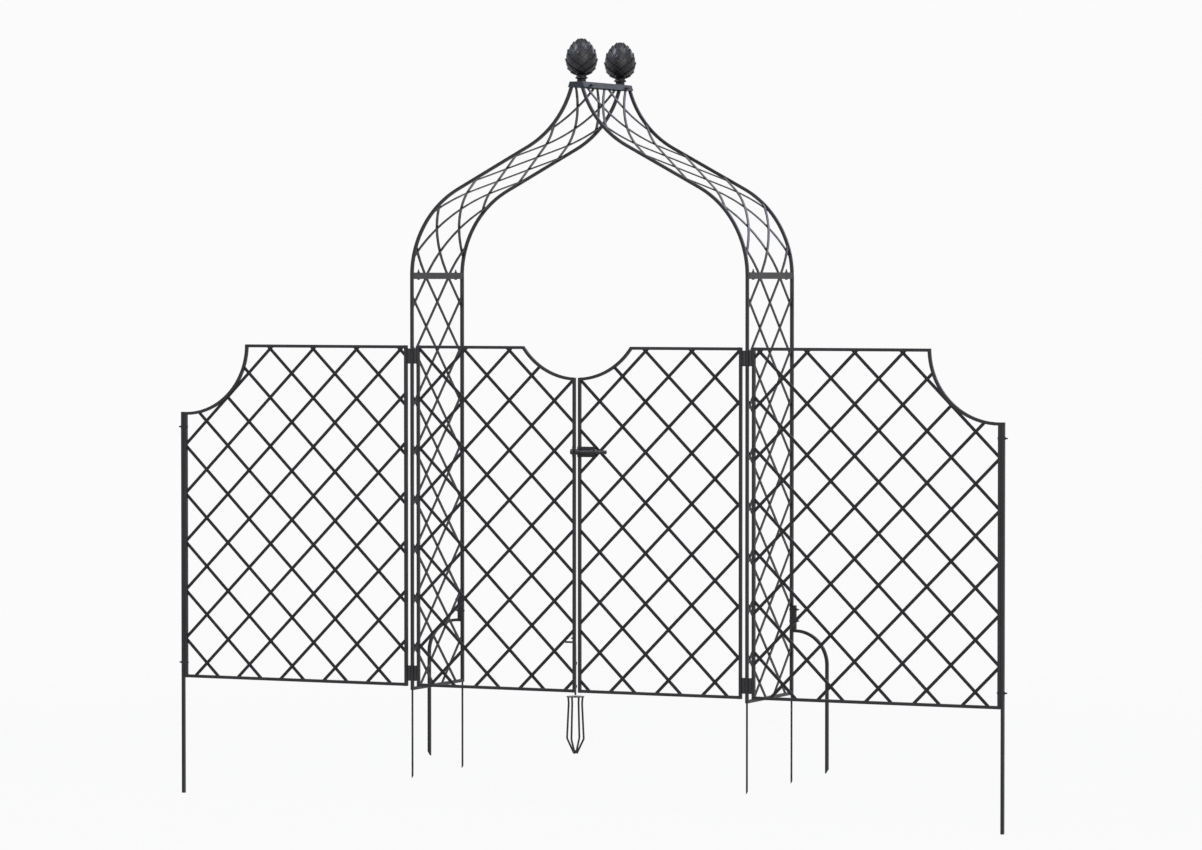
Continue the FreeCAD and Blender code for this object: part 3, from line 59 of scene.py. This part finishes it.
def addNode(tree, kind, settings=None, inputs=None, links=None):
    made = tree.nodes.new(kind)
    for name, value in (settings or {}).items():
        setattr(made, name, value)
    for name, value in (inputs or {}).items():
        made.inputs[name].default_value = value
    for name, source in (links or {}).items():
        tree.links.new(source, made.inputs[name])
    return made


# Powder coat on mild steel: sprayed and baked. It is satin, with a fine orange peel
# that breaks up highlights, and its colour drifts a little with the coat's thickness.
coatLooks = {
    "barCoat": {"colour": "#1e1e1f", "pale": "#28282a", "roughness": 0.38, "shine": 0.22,
                "peel": 0.0022},
    "latticeCoat": {"colour": "#151517", "pale": "#1d1d20", "roughness": 0.34, "shine": 0.2,
                    "peel": 0.0022},
    "capCoat": {"colour": "#232427", "pale": "#2c2e33", "roughness": 0.46, "shine": 0.14,
                "peel": 0.0026},
    "castCoat": {"colour": "#131316", "pale": "#1d1d23", "roughness": 0.38, "shine": 0.38,
                 "peel": 0.0030},
    "hardwareCoat": {"colour": "#1a1a1b", "pale": "#232324", "roughness": 0.36, "shine": 0.25,
                     "peel": 0.0016},
}
# The colour drifts over some 170 mm and is speckled at 4 mm. Scales are per metre.
coatFacts = {
    "driftScale": 6.0, "speckleScale": 260.0, "speckleShare": 0.35, "darkest": 0.35,
    "palest": 0.95, "glossFrom": 0.3, "glossTo": 0.7, "smoother": 0.05, "rougher": 0.07,
    "peelStrength": 0.04, "peelDepth": 0.0003, "refraction": 1.5,
}
# Painted shade: a near-black colour laid into the grooves between the scales of a casting, where
# shade falls.
grooveShadeColour = "#060607"


def powderCoat(name, look):
    facts = coatFacts
    material = bpy.data.materials.new(name)
    material.use_nodes = True
    tree = material.node_tree
    tree.nodes.clear()
    where = addNode(tree, "ShaderNodeTexCoord").outputs["Object"]
    # Colour drifts slowly over a bar, by the thickness of the coat.
    drift = addNode(tree, "ShaderNodeTexNoise", inputs={
        "Scale": facts["driftScale"], "Detail": 3.0}, links={"Vector": where}).outputs["Fac"]
    speckle = addNode(tree, "ShaderNodeTexNoise", inputs={
        "Scale": facts["speckleScale"], "Detail": 2.0}, links={"Vector": where}).outputs["Fac"]
    blend = addNode(tree, "ShaderNodeMath", {"operation": "MULTIPLY_ADD"},
                    {1: facts["speckleShare"]}, {0: speckle, 2: drift}).outputs[0]
    tint = addNode(tree, "ShaderNodeValToRGB", links={"Fac": blend})
    tint.color_ramp.elements[0].position = facts["darkest"]
    tint.color_ramp.elements[0].color = srgb(look["colour"])
    tint.color_ramp.elements[1].position = facts["palest"]
    tint.color_ramp.elements[1].color = srgb(look["pale"])
    # Painted shade: where a piece carries the groove-shade mask (the pine cones' scales), the
    # colour is mixed towards near-black.
    groove = addNode(tree, "ShaderNodeAttribute", {"attribute_name": "groove"}).outputs["Fac"]
    colour = addNode(tree, "ShaderNodeMix", {"data_type": "RGBA"}, {"B": srgb(grooveShadeColour)},
                     {"Factor": groove, "A": tint.outputs["Color"]}).outputs["Result"]
    gloss = addNode(tree, "ShaderNodeMapRange", inputs={
        "From Min": facts["glossFrom"], "From Max": facts["glossTo"],
        "To Min": look["roughness"] - facts["smoother"],
        "To Max": look["roughness"] + facts["rougher"]}, links={"Value": drift}).outputs["Result"]
    # Orange peel, about as coarse as the dimples that a spray gun leaves.
    peel = addNode(tree, "ShaderNodeTexNoise", inputs={"Scale": 1 / look["peel"], "Detail": 2.0},
                   links={"Vector": where}).outputs["Fac"]
    bump = addNode(tree, "ShaderNodeBump", inputs={
        "Strength": facts["peelStrength"], "Distance": facts["peelDepth"]},
        links={"Height": peel}).outputs["Normal"]
    shader = addNode(tree, "ShaderNodeBsdfPrincipled", inputs={
        "IOR": facts["refraction"], "Specular IOR Level": look["shine"], "Metallic": 0.0},
        links={"Base Color": colour, "Roughness": gloss, "Normal": bump})
    addNode(tree, "ShaderNodeOutputMaterial", links={"Surface": shader.outputs["BSDF"]})
    return material


coats = {name: powderCoat(name, look) for name, look in coatLooks.items()}
slotCoats = {"frame_steel": "barCoat", "lattice_steel": "latticeCoat", "cap_steel": "capCoat",
             "finial_casting": "castCoat", "fastener_steel": "hardwareCoat"}
slotOf = {part["node"]: part["material_slot"] for part in frame["record"]["subparts"]}
for name, piece in nodes.items():
    coat = coats[slotCoats[slotOf[name]]]
    piece.data.materials.clear()
    piece.data.materials.append(coat)
bodyOf = {name: body for body, names in frame["record"]["behaviour"]["bodies"].items()
          for name in names}
print("coats sprayed")


def camel(*words):
    joined = "_".join(words).split("_")
    return joined[0] + "".join(word.capitalize() for word in joined[1:])


def finishPiece(piece, standsFor, replaced=True):
    # The piece takes the body, the slot and the coat of the node that it stands for.
    piece.data.materials.clear()
    piece.data.materials.append(coats[slotCoats[slotOf[standsFor]]])
    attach(piece, bodyOf[standsFor])
    if replaced:
        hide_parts(standsFor)
    return piece


def startPiece(name, mesh=None):
    piece = bpy.data.objects.new(name, mesh or bpy.data.meshes.new(name))
    bpy.context.scene.collection.objects.link(piece)
    return piece


def select(piece):
    bpy.ops.object.select_all(action="DESELECT")
    piece.select_set(True)
    bpy.context.view_layer.objects.active = piece


def applyModifier(piece, kind, **settings):
    select(piece)
    modifier = piece.modifiers.new(kind.title(), kind)
    for name, value in settings.items():
        setattr(modifier, name, value)
    bpy.ops.object.modifier_apply(modifier=modifier.name)


def smooth(piece, angle=35):
    select(piece)
    bpy.ops.object.shade_smooth_by_angle(angle=radians(angle))


mergeDistance = 2e-6
flatAngle = radians(0.4)


def openMesh(node):
    # The solids of a node, with the points of their triangles merged.
    work = bmesh.new()
    work.from_mesh(nodes[node].data)
    bmesh.ops.remove_doubles(work, verts=work.verts, dist=mergeDistance)
    return work


def flatten(work):
    # Triangles that lie in one plane become one face.
    bmesh.ops.dissolve_limit(work, angle_limit=flatAngle, verts=work.verts, edges=work.edges)


# Drawn bar and cut sheet have soft corners, which catch a thin line of light. Each node
# gets a copy with its corners rounded to the radius of its stock.
cornerAngle = radians(32)
edgeFacts = {
    "frame_steel": {"radius": 0.0011, "segments": 2},
    "lattice_steel": {"radius": 0.0005, "segments": 2},
    "cap_steel": {"radius": 0.0022, "segments": 3},
    "fastener_steel": {"radius": 0.0006, "segments": 2},
}
thinEdges = {"latch_plate": 0.0007, "latch_keeper": 0.0007, "ground_socket": 0.0006,
             "latch_bolt": 0.0012, "drop_bolt": 0.0009, "ridge_cap": 0.0011}

# The photographed bars are a little stouter than their 12 mm section, by this much on each
# side, and the ogee top stands on the posts with no light between its bars and theirs. Bars
# that run close to a hinge or a bolt are filled out less.
barEndings = ("_post", "_bars", "_bar", "_stiles", "_rails", "_lattice")
stouter = {"frame_steel": 0.0003, "lattice_steel": 0.0005}
stouterBesideHinges = 0.00015
sharpestCorner = 2.0
postTop = max(vertex.co.z for vertex in nodes["front_left_post"].data.vertices)
ogeeFoot = min(vertex.co.z for vertex in nodes["left_front_ogee_bar"].data.vertices)
seamHeight = (postTop + ogeeFoot) / 2


def fillOut(work, node):
    # Every face moves outwards by the same amount, and the faces at the ogee's foot meet.
    leafFrame = node.endswith(("_leaf_stiles", "_leaf_rails"))
    besideHinges = leafFrame or node.startswith("front_")
    extra = stouterBesideHinges if besideHinges else stouter[slotOf[node]]
    work.normal_update()
    shifts = [vertex.normal * min(vertex.calc_shell_factor(), sharpestCorner) * extra
              for vertex in work.verts]
    for vertex, shift in zip(work.verts, shifts):
        onSeam = abs(vertex.co.z - seamHeight) < ogeeFoot - postTop
        vertex.co += shift
        if onSeam:
            vertex.co.z = seamHeight


def roundedStock(node):
    facts = edgeFacts[slotOf[node]]
    piece = startPiece(camel(node, "stock"), nodes[node].data.copy())
    work = openMesh(node)
    flatten(work)
    if node.endswith(barEndings):
        fillOut(work, node)
    work.to_mesh(piece.data)
    work.free()
    applyModifier(piece, "BEVEL", width=thinEdges.get(node, facts["radius"]),
                  segments=facts["segments"], limit_method="ANGLE", angle_limit=cornerAngle,
                  miter_outer="MITER_SHARP", harden_normals=False)
    smooth(piece)
    applyModifier(piece, "WEIGHTED_NORMAL", weight=90, keep_sharp=True)
    return finishPiece(piece, node)


shapedBelow = {"front_finial", "rear_finial", "joint_bolts", "ridge_bolts", "wing_bolts",
               "brace_bolts", "hex_nuts", "finial_nuts"}
barsAndSheet = [node for node in nodes if node not in shapedBelow]
for node in barsAndSheet:
    roundedStock(node)
print("bars, lattices, cap and ironwork rounded:", len(barsAndSheet))


def join(name, pieces):
    # Several shapes of one casting, weld or set of bolts become one piece.
    select(pieces[0])
    for piece in pieces:
        piece.select_set(True)
    bpy.ops.object.join()
    pieces[0].name = name
    return pieces[0]


def place(piece, matrix):
    piece.data.transform(matrix)
    piece.data.update()
    return piece


def turned(axis, middle):
    # Brings a shape that stands on the origin to its place, with its Z axis along the axis.
    turn = Vector((0, 0, 1)).rotation_difference(axis).to_matrix().to_4x4()
    return Matrix.Translation(middle) @ turn


def lathe(name, outline, steps):
    # Spins an outline of (radius, height) points round the Z axis.
    piece = startPiece(name)
    points = [(radius, 0.0, height) for radius, height in outline]
    piece.data.from_pydata(points, [(k, k + 1) for k in range(len(points) - 1)], [])
    select(piece)
    bpy.ops.object.mode_set(mode="EDIT")
    bpy.ops.mesh.select_all(action="SELECT")
    bpy.ops.mesh.spin(steps=steps, angle=2 * pi, center=(0, 0, 0), axis=(0, 0, 1))
    bpy.ops.mesh.select_all(action="SELECT")
    bpy.ops.mesh.remove_doubles(threshold=1e-6)
    bpy.ops.mesh.normals_make_consistent(inside=False)
    bpy.ops.object.mode_set(mode="OBJECT")
    return piece


# Pine cones, cast in one with their necks: nine rows of eight leaf scales, each row half
# a scale round from the last, with their tips on one egg-shaped curve.
coneFacts = {
    "widest": 0.066, "widestHeight": 0.087, "lowCurve": 0.072, "topCurve": 0.100,
    "budRadius": 0.002, "firstTips": -0.053, "pitch": 0.020, "rows": 9, "around": 8,
    "hiddenRows": 2.2, "lift": 0.0092, "belly": 0.0014, "flare": 0.0014,
    "thickness": 0.0048, "lip": 0.0013, "lipAngle": radians(50), "turn": 3.0,
    "rowSpread": 1.25, "tipWidth": 0.07, "sideCurve": 0.9, "grooveFrom": 0.8,
    "grooveStart": 0.2, "grooveFade": 0.5, "stud": 0.014, "studRadius": 0.004,
    "smoothUpTo": 42,
}


def coneSpot(along, inset):
    # Radius and height at a distance along the egg from its widest place.
    facts = coneFacts
    curve = facts["topCurve"] if along > 0 else facts["lowCurve"]
    slope = along / curve
    radius = facts["widest"] - curve + (curve - inset) * cos(slope)
    height = facts["widestHeight"] + (curve - inset) * sin(slope)
    return max(radius, facts["budRadius"]), height


def leafScale(row):
    facts = coneFacts
    pitch = facts["pitch"]
    hidden = facts["hiddenRows"] * pitch
    tip = facts["firstTips"] + row * pitch
    share = pi / facts["around"]
    bpy.ops.object.select_all(action="DESELECT")
    bpy.ops.mesh.primitive_grid_add(x_subdivisions=6, y_subdivisions=9, size=2)
    scale = bpy.context.object
    groove = scale.data.attributes.new("groove", "FLOAT", "POINT")
    for vertex in scale.data.vertices:
        u, v = vertex.co.x, (vertex.co.y + 1) / 2
        back = hidden * (1 - v) ** facts["rowSpread"]
        # Within one pitch of its tip the scale narrows, with slightly round sides.
        side = min(1.0, back / pitch) ** facts["sideCurve"]
        wide = facts["tipWidth"] + (1 - facts["tipWidth"]) * side
        flare = facts["flare"] * max(0.0, 1 - back / pitch) ** 2
        inset = facts["lift"] * back / hidden - facts["belly"] * (1 - u * u) * wide - flare
        # The shown part is a diamond, two pitches high: its lower edges lie in the groove.
        # Painted shade: a mask that darkens the scale's colour towards those lower edges, in the
        # crease where shade falls, and is nothing near the tip.
        edge = abs(u) + max(0.0, back / pitch - 1)
        depth = min(1.0, max(0.0, (edge - facts["grooveStart"]) / facts["grooveFade"]))
        groove.data[vertex.index].value = depth if back > facts["grooveFrom"] * pitch else 0.0
        radius, height = coneSpot(tip - back, inset)
        angle = -u * wide * share
        vertex.co = (radius * cos(angle), radius * sin(angle), height)
    bpy.ops.object.mode_set(mode="EDIT")
    bpy.ops.mesh.select_all(action="SELECT")
    bpy.ops.mesh.normals_make_consistent(inside=False)
    bpy.ops.object.mode_set(mode="OBJECT")
    face = scale.data.polygons[len(scale.data.polygons) // 2]
    if face.normal.x < 0:
        scale.data.flip_normals()
    applyModifier(scale, "SOLIDIFY", thickness=facts["thickness"], offset=-1.0)
    applyModifier(scale, "BEVEL", width=facts["lip"], segments=2, limit_method="ANGLE",
                  angle_limit=facts["lipAngle"])
    return scale


def finialCore():
    # Stud, neck, a half-round collar, the waist and the core that the scales stand on.
    stud, studRadius = coneFacts["stud"], coneFacts["studRadius"]
    outline = [(0.0, -stud), (studRadius - 0.0004, -stud), (studRadius, 0.0008 - stud),
               (studRadius, 0.0), (0.0185, 0.0), (0.0185, 0.0112), (0.0192, 0.0120)]
    outline += [(0.0212 + 0.0043 * sin(pi * k / 8), 0.0165 - 0.0041 * cos(pi * k / 8))
                for k in range(9)]
    outline += [(0.0203, 0.0212), (0.0203, 0.024), (0.034, 0.040), (0.046, 0.060),
                (0.052, 0.087), (0.050, 0.110), (0.038, 0.135), (0.020, 0.155),
                (0.0150, 0.1640)]
    outline += [(0.0150 * cos(pi * k / 12), 0.1640 + 0.0118 * sin(pi * k / 12))
                for k in range(1, 6)]
    outline += [(0.0, 0.1758)]
    return lathe("core", outline, 40)


def pineCone(node):
    low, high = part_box(node)
    seat = Vector(((low.x + high.x) / 2, (low.y + high.y) / 2, low.z + coneFacts["stud"]))
    parts = [finialCore()]
    for row in range(coneFacts["rows"]):
        scale = leafScale(row)
        step = 360 / coneFacts["around"]
        for k in range(coneFacts["around"]):
            copy = startPiece("scale", scale.data.copy())
            angle = radians(coneFacts["turn"] + (row / 2 + k) * step)
            parts.append(place(copy, Matrix.Rotation(angle, 4, "Z")))
        bpy.data.objects.remove(scale)
    piece = join(camel(node, "casting"), parts)
    place(piece, Matrix.Translation(seat))
    smooth(piece, coneFacts["smoothUpTo"])
    return finishPiece(piece, node)


for node in ("front_finial", "rear_finial"):
    pineCone(node)
print("pine cones cast")


def islands(node):
    # The separate solids of a node, each as its lowest and highest corners and points.
    work = openMesh(node)
    left = set(work.verts)
    found = []
    while left:
        front = [left.pop()]
        points = []
        while front:
            vertex = front.pop()
            points.append(vertex.co.copy())
            for edge in vertex.link_edges:
                other = edge.other_vert(vertex)
                if other in left:
                    left.remove(other)
                    front.append(other)
        low = Vector([min(p[k] for p in points) for k in range(3)])
        high = Vector([max(p[k] for p in points) for k in range(3)])
        found.append((low, high, points))
    work.free()
    return found


# Mushroom-head bolts, M6, zinc plated and painted over, with a rolled thread on the end.
boltFacts = {"shank": 0.0030, "root": 0.0026, "head": 0.0068, "headHeight": 0.0040,
             "threaded": 0.013, "pitch": 0.001, "domeSteps": 7, "endZone": 0.0045,
             "smoothUpTo": 30}
nutChamfers = {"hex_nuts": 0.0006, "finial_nuts": 0.0008}
nutCornerAngle = radians(40)


def boltBody(length):
    facts = boltFacts
    dome = [pi / 2 * k / facts["domeSteps"] for k in range(facts["domeSteps"] + 1)]
    outline = [(facts["head"] * sin(a), -facts["headHeight"] * cos(a)) for a in dome]
    outline += [(facts["head"], 0.0), (facts["shank"], 0.0),
                (facts["shank"], length - facts["threaded"])]
    turns = int(facts["threaded"] / facts["pitch"]) - 1
    for k in range(turns):
        height = length - facts["threaded"] + k * facts["pitch"]
        outline += [(facts["root"], height + facts["pitch"] / 2),
                    (facts["shank"], height + facts["pitch"])]
    outline += [(facts["root"] * 0.85, length), (0.0, length)]
    return lathe("bolt", outline, 16)


def boltSet(node):
    parts = []
    for low, high, points in islands(node):
        size = high - low
        along = max(range(3), key=lambda k: size[k])
        middle = (low + high) / 2
        # The head is the end whose points lie furthest from the bolt's axis.
        widths = []
        for end in (low[along], high[along]):
            near = [p - middle for p in points if abs(p[along] - end) < boltFacts["endZone"]]
            widths.append(max(sqrt(p.length_squared - p[along] ** 2) for p in near))
        headFirst = widths[0] > widths[1]
        axis = Vector((0, 0, 0))
        axis[along] = 1 if headFirst else -1
        seat = middle.copy()
        rise = boltFacts["headHeight"]
        seat[along] = low[along] + rise if headFirst else high[along] - rise
        parts.append(place(boltBody(size[along] - rise), turned(axis, seat)))
    piece = join(camel(node, "turned"), parts)
    smooth(piece, boltFacts["smoothUpTo"])
    return finishPiece(piece, node)


def nutSet(node):
    parts = []
    for low, high, points in islands(node):
        size = high - low
        along = min(range(3), key=lambda k: size[k])
        radius = max(size) / 2
        bpy.ops.object.select_all(action="DESELECT")
        bpy.ops.mesh.primitive_cylinder_add(vertices=6, radius=radius, depth=size[along])
        nut = bpy.context.object
        applyModifier(nut, "BEVEL", width=nutChamfers[node], segments=2, limit_method="ANGLE",
                      angle_limit=nutCornerAngle)
        axis = Vector((0, 0, 0))
        axis[along] = 1
        parts.append(place(nut, turned(axis, (low + high) / 2)))
    piece = join(camel(node, "pressed"), parts)
    smooth(piece, boltFacts["smoothUpTo"])
    return finishPiece(piece, node)


for node in ("joint_bolts", "ridge_bolts", "wing_bolts", "brace_bolts"):
    boltSet(node)
for node in nutChamfers:
    nutSet(node)
print("bolts and nuts fitted")

# Welds: a bead round each butt joint of the square bars, and a short bead on each face
# of a lattice bar where it meets its frame. They are brushed and painted over.
weldFacts = {
    "ring": 0.0015, "bead": 0.0014, "barSide": 0.012, "barSlack": 0.0005, "barLongest": 0.0135,
    "flatLongest": 0.030, "flatShortest": 0.006, "flatThick": 0.003, "flatSlack": 0.0005,
    "level": 0.99, "mitred": 0.75, "ringsWithin": 1.79, "smoothUpTo": 60,
}


def endFaces(node, longest):
    # Flat ends of the bars: middle, normal, the longer side and the shorter side.
    work = openMesh(node)
    flatten(work)
    found = []
    for face in work.faces:
        sides = [edge.verts[1].co - edge.verts[0].co for edge in face.edges]
        if len(sides) == 4 and max(s.length for s in sides) < longest:
            sides.sort(key=lambda s: s.length)
            found.append((face.calc_center_median().copy(), face.normal.copy(),
                          sides[-1].copy(), sides[0].copy()))
    work.free()
    return found


def weldRing(middle, axis):
    bpy.ops.object.select_all(action="DESELECT")
    reach = weldFacts["barSide"] / sqrt(2)
    bpy.ops.mesh.primitive_torus_add(major_segments=4, minor_segments=6,
                                     major_radius=reach, minor_radius=weldFacts["ring"])
    ring = bpy.context.object
    bpy.ops.object.mode_set(mode="EDIT")
    bpy.ops.mesh.select_all(action="SELECT")
    bpy.ops.transform.rotate(value=pi / 4, orient_axis="Z", center_override=(0, 0, 0))
    bpy.ops.mesh.subdivide(number_cuts=1)
    bpy.ops.object.mode_set(mode="OBJECT")
    return place(ring, turned(axis, middle))


def weldBead(middle, side, thick):
    bpy.ops.object.select_all(action="DESELECT")
    bpy.ops.mesh.primitive_uv_sphere_add(segments=8, ring_count=5, radius=1)
    bead = bpy.context.object
    size = weldFacts["bead"]
    place(bead, Matrix.Diagonal((size, size, side.length / 2, 1)))
    return place(bead, turned(side.normalized(), middle + thick / 2))


def welds(name, rails, lattices, standsFor):
    # The rails' ends at the outer stiles of the side panels get no ring.
    facts = weldFacts
    parts = []
    for node in rails:
        for middle, normal, longer, shorter in endFaces(node, facts["barLongest"]):
            square = (longer.length < facts["barSide"] + facts["barSlack"]
                      and shorter.length > facts["barSide"] - facts["barSlack"])
            level = max(abs(part) for part in normal) > facts["level"]
            if square and level and abs(middle.x) < facts["ringsWithin"]:
                parts.append(weldRing(middle, normal))
    for node in lattices:
        for middle, normal, longer, shorter in endFaces(node, facts["flatLongest"]):
            flatEnd = (abs(shorter.length - facts["flatThick"]) < facts["flatSlack"]
                       and longer.length > facts["flatShortest"])
            if flatEnd and max(abs(part) for part in normal) > facts["mitred"]:
                parts.append(weldBead(middle, longer, shorter))
                parts.append(weldBead(middle, longer, -shorter))
    print(name, len(parts), "beads")
    piece = join(name, parts)
    smooth(piece, facts["smoothUpTo"])
    return finishPiece(piece, standsFor, replaced=False)


for side in ("left", "right"):
    for panel, bars in (("leaf", "rails"), ("wing", "rails"), ("side", "bars")):
        rails = side + "_" + panel + "_" + bars
        lattice = side + "_" + panel + "_lattice"
        welds(side + panel.capitalize() + "Welds", [rails], [lattice], rails)
welds("topWelds", ["upper_joint_bars", "ridge_bars"],
      ["left_ogee_lattice", "right_ogee_lattice"], "ridge_bars")
print("welds laid")

# Camera where the photograph was taken from, found from the posts, rails and lattice.
cameraFacts = {"place": (8.4356, -17.8097, 1.6804), "turn": (88.316, 0.0, 25.062),
               "lens": 145.9}


def addCamera(facts):
    view = bpy.data.cameras.new("camera")
    view.lens = facts["lens"]
    view.sensor_width = 36.0
    view.clip_end = 200.0
    holder = bpy.data.objects.new("camera", view)
    holder.location = facts["place"]
    holder.rotation_euler = [radians(a) for a in facts["turn"]]
    bpy.context.scene.collection.objects.link(holder)
    bpy.context.scene.camera = holder


addCamera(cameraFacts)

# Studio: a pale floor under the stakes, two cool lamps high on the left and the right, a
# large warm one low in front on the right, a weak one behind, and an even pale sky.
studioFacts = {
    "floorZ": -0.482, "floorSize": 120.0, "floorColour": "#d2d2d2", "background": "#fbfbfb",
    "shadowShare": 0.03, "shadowNear": 3.0, "shadowFar": 9.0, "skyColour": "#eef1f6",
    "skyStrength": 0.36,
    "lamps": {
        "leftLamp": {"place": (-4.5, -5.0, 7.5), "aim": (0.0, 0.2, 1.9), "size": 2.0,
                     "power": 640, "colour": "#e6ebff"},
        "rightLamp": {"place": (4.5, -1.5, 8.5), "aim": (0.0, 0.2, 1.9), "size": 4.0,
                      "power": 440, "colour": "#e6ebff"},
        "frontLamp": {"place": (5.8, -5.0, 1.6), "aim": (1.0, 0.2, 0.9), "size": 6.0,
                      "power": 340, "colour": "#fff7f2"},
        "rimLamp": {"place": (3.5, 9.0, 6.0), "aim": (0.3, 0.2, 2.2), "size": 5.0,
                    "power": 190, "colour": "#dfe5ff"},
    },
}


def seenRays(tree):
    path = addNode(tree, "ShaderNodeLightPath")
    first = addNode(tree, "ShaderNodeMath", {"operation": "MAXIMUM"}, links={
        0: path.outputs["Is Camera Ray"], 1: path.outputs["Is Glossy Ray"]}).outputs[0]
    return addNode(tree, "ShaderNodeMath", {"operation": "MAXIMUM"}, links={
        0: first, 1: path.outputs["Is Transmission Ray"]}).outputs[0]


def buildStudio(facts):
    world = bpy.data.worlds.new("studio")
    bpy.context.scene.world = world
    world.use_nodes = True
    tree = world.node_tree
    tree.nodes.clear()
    seen = seenRays(tree)
    sky = addNode(tree, "ShaderNodeBackground", inputs={
        "Color": srgb(facts["skyColour"]), "Strength": facts["skyStrength"]}).outputs[0]
    backdrop = addNode(tree, "ShaderNodeBackground", inputs={
        "Color": srgb(facts["background"]), "Strength": 1.0}).outputs[0]
    mixed = addNode(tree, "ShaderNodeMixShader", links={0: seen, 1: sky, 2: backdrop}).outputs[0]
    addNode(tree, "ShaderNodeOutputWorld", links={"Surface": mixed})

    bpy.ops.object.select_all(action="DESELECT")
    bpy.ops.mesh.primitive_plane_add(size=facts["floorSize"], location=(0, 0, facts["floorZ"]))
    floor = bpy.context.object
    floor.name = "floor"
    paper = bpy.data.materials.new("studioPaper")
    paper.use_nodes = True
    tree = paper.node_tree
    tree.nodes.clear()
    seen = seenRays(tree)
    # The floor takes the object's shadow near its feet and fades into the backdrop.
    where = addNode(tree, "ShaderNodeTexCoord").outputs["Object"]
    away = addNode(tree, "ShaderNodeVectorMath", {"operation": "LENGTH"},
                   links={0: where}).outputs["Value"]
    lit = addNode(tree, "ShaderNodeMapRange", {"interpolation_type": "SMOOTHSTEP"}, {
        "From Min": facts["shadowNear"], "From Max": facts["shadowFar"],
        "To Min": 1 - facts["shadowShare"], "To Max": 1.0}, {"Value": away}).outputs["Result"]
    share = addNode(tree, "ShaderNodeMath", {"operation": "MULTIPLY"},
                    links={0: seen, 1: lit}).outputs[0]
    matt = addNode(tree, "ShaderNodeBsdfDiffuse", inputs={"Color": srgb(facts["floorColour"])})
    glow = addNode(tree, "ShaderNodeEmission", inputs={
        "Color": srgb(facts["background"]), "Strength": 1.0})
    mixed = addNode(tree, "ShaderNodeMixShader", links={
        0: share, 1: matt.outputs[0], 2: glow.outputs[0]}).outputs[0]
    # Seen from below, the paper is clear, so that the underside can be looked at.
    below = addNode(tree, "ShaderNodeNewGeometry").outputs["Backfacing"]
    clear = addNode(tree, "ShaderNodeBsdfTransparent").outputs[0]
    sheet = addNode(tree, "ShaderNodeMixShader", links={0: below, 1: mixed, 2: clear}).outputs[0]
    addNode(tree, "ShaderNodeOutputMaterial", links={"Surface": sheet})
    floor.data.materials.append(paper)
    for name, lamp in facts["lamps"].items():
        light = bpy.data.lights.new(name, "AREA")
        light.size = lamp["size"]
        light.energy = lamp["power"]
        light.color = srgb(lamp["colour"])[:3]
        holder = bpy.data.objects.new(name, light)
        holder.location = lamp["place"]
        aim = Vector(lamp["aim"]) - Vector(lamp["place"])
        holder.rotation_euler = aim.to_track_quat("-Z", "Y").to_euler()
        bpy.context.scene.collection.objects.link(holder)


buildStudio(studioFacts)
bpy.context.scene.view_settings.view_transform = "Standard"
print("studio lit")
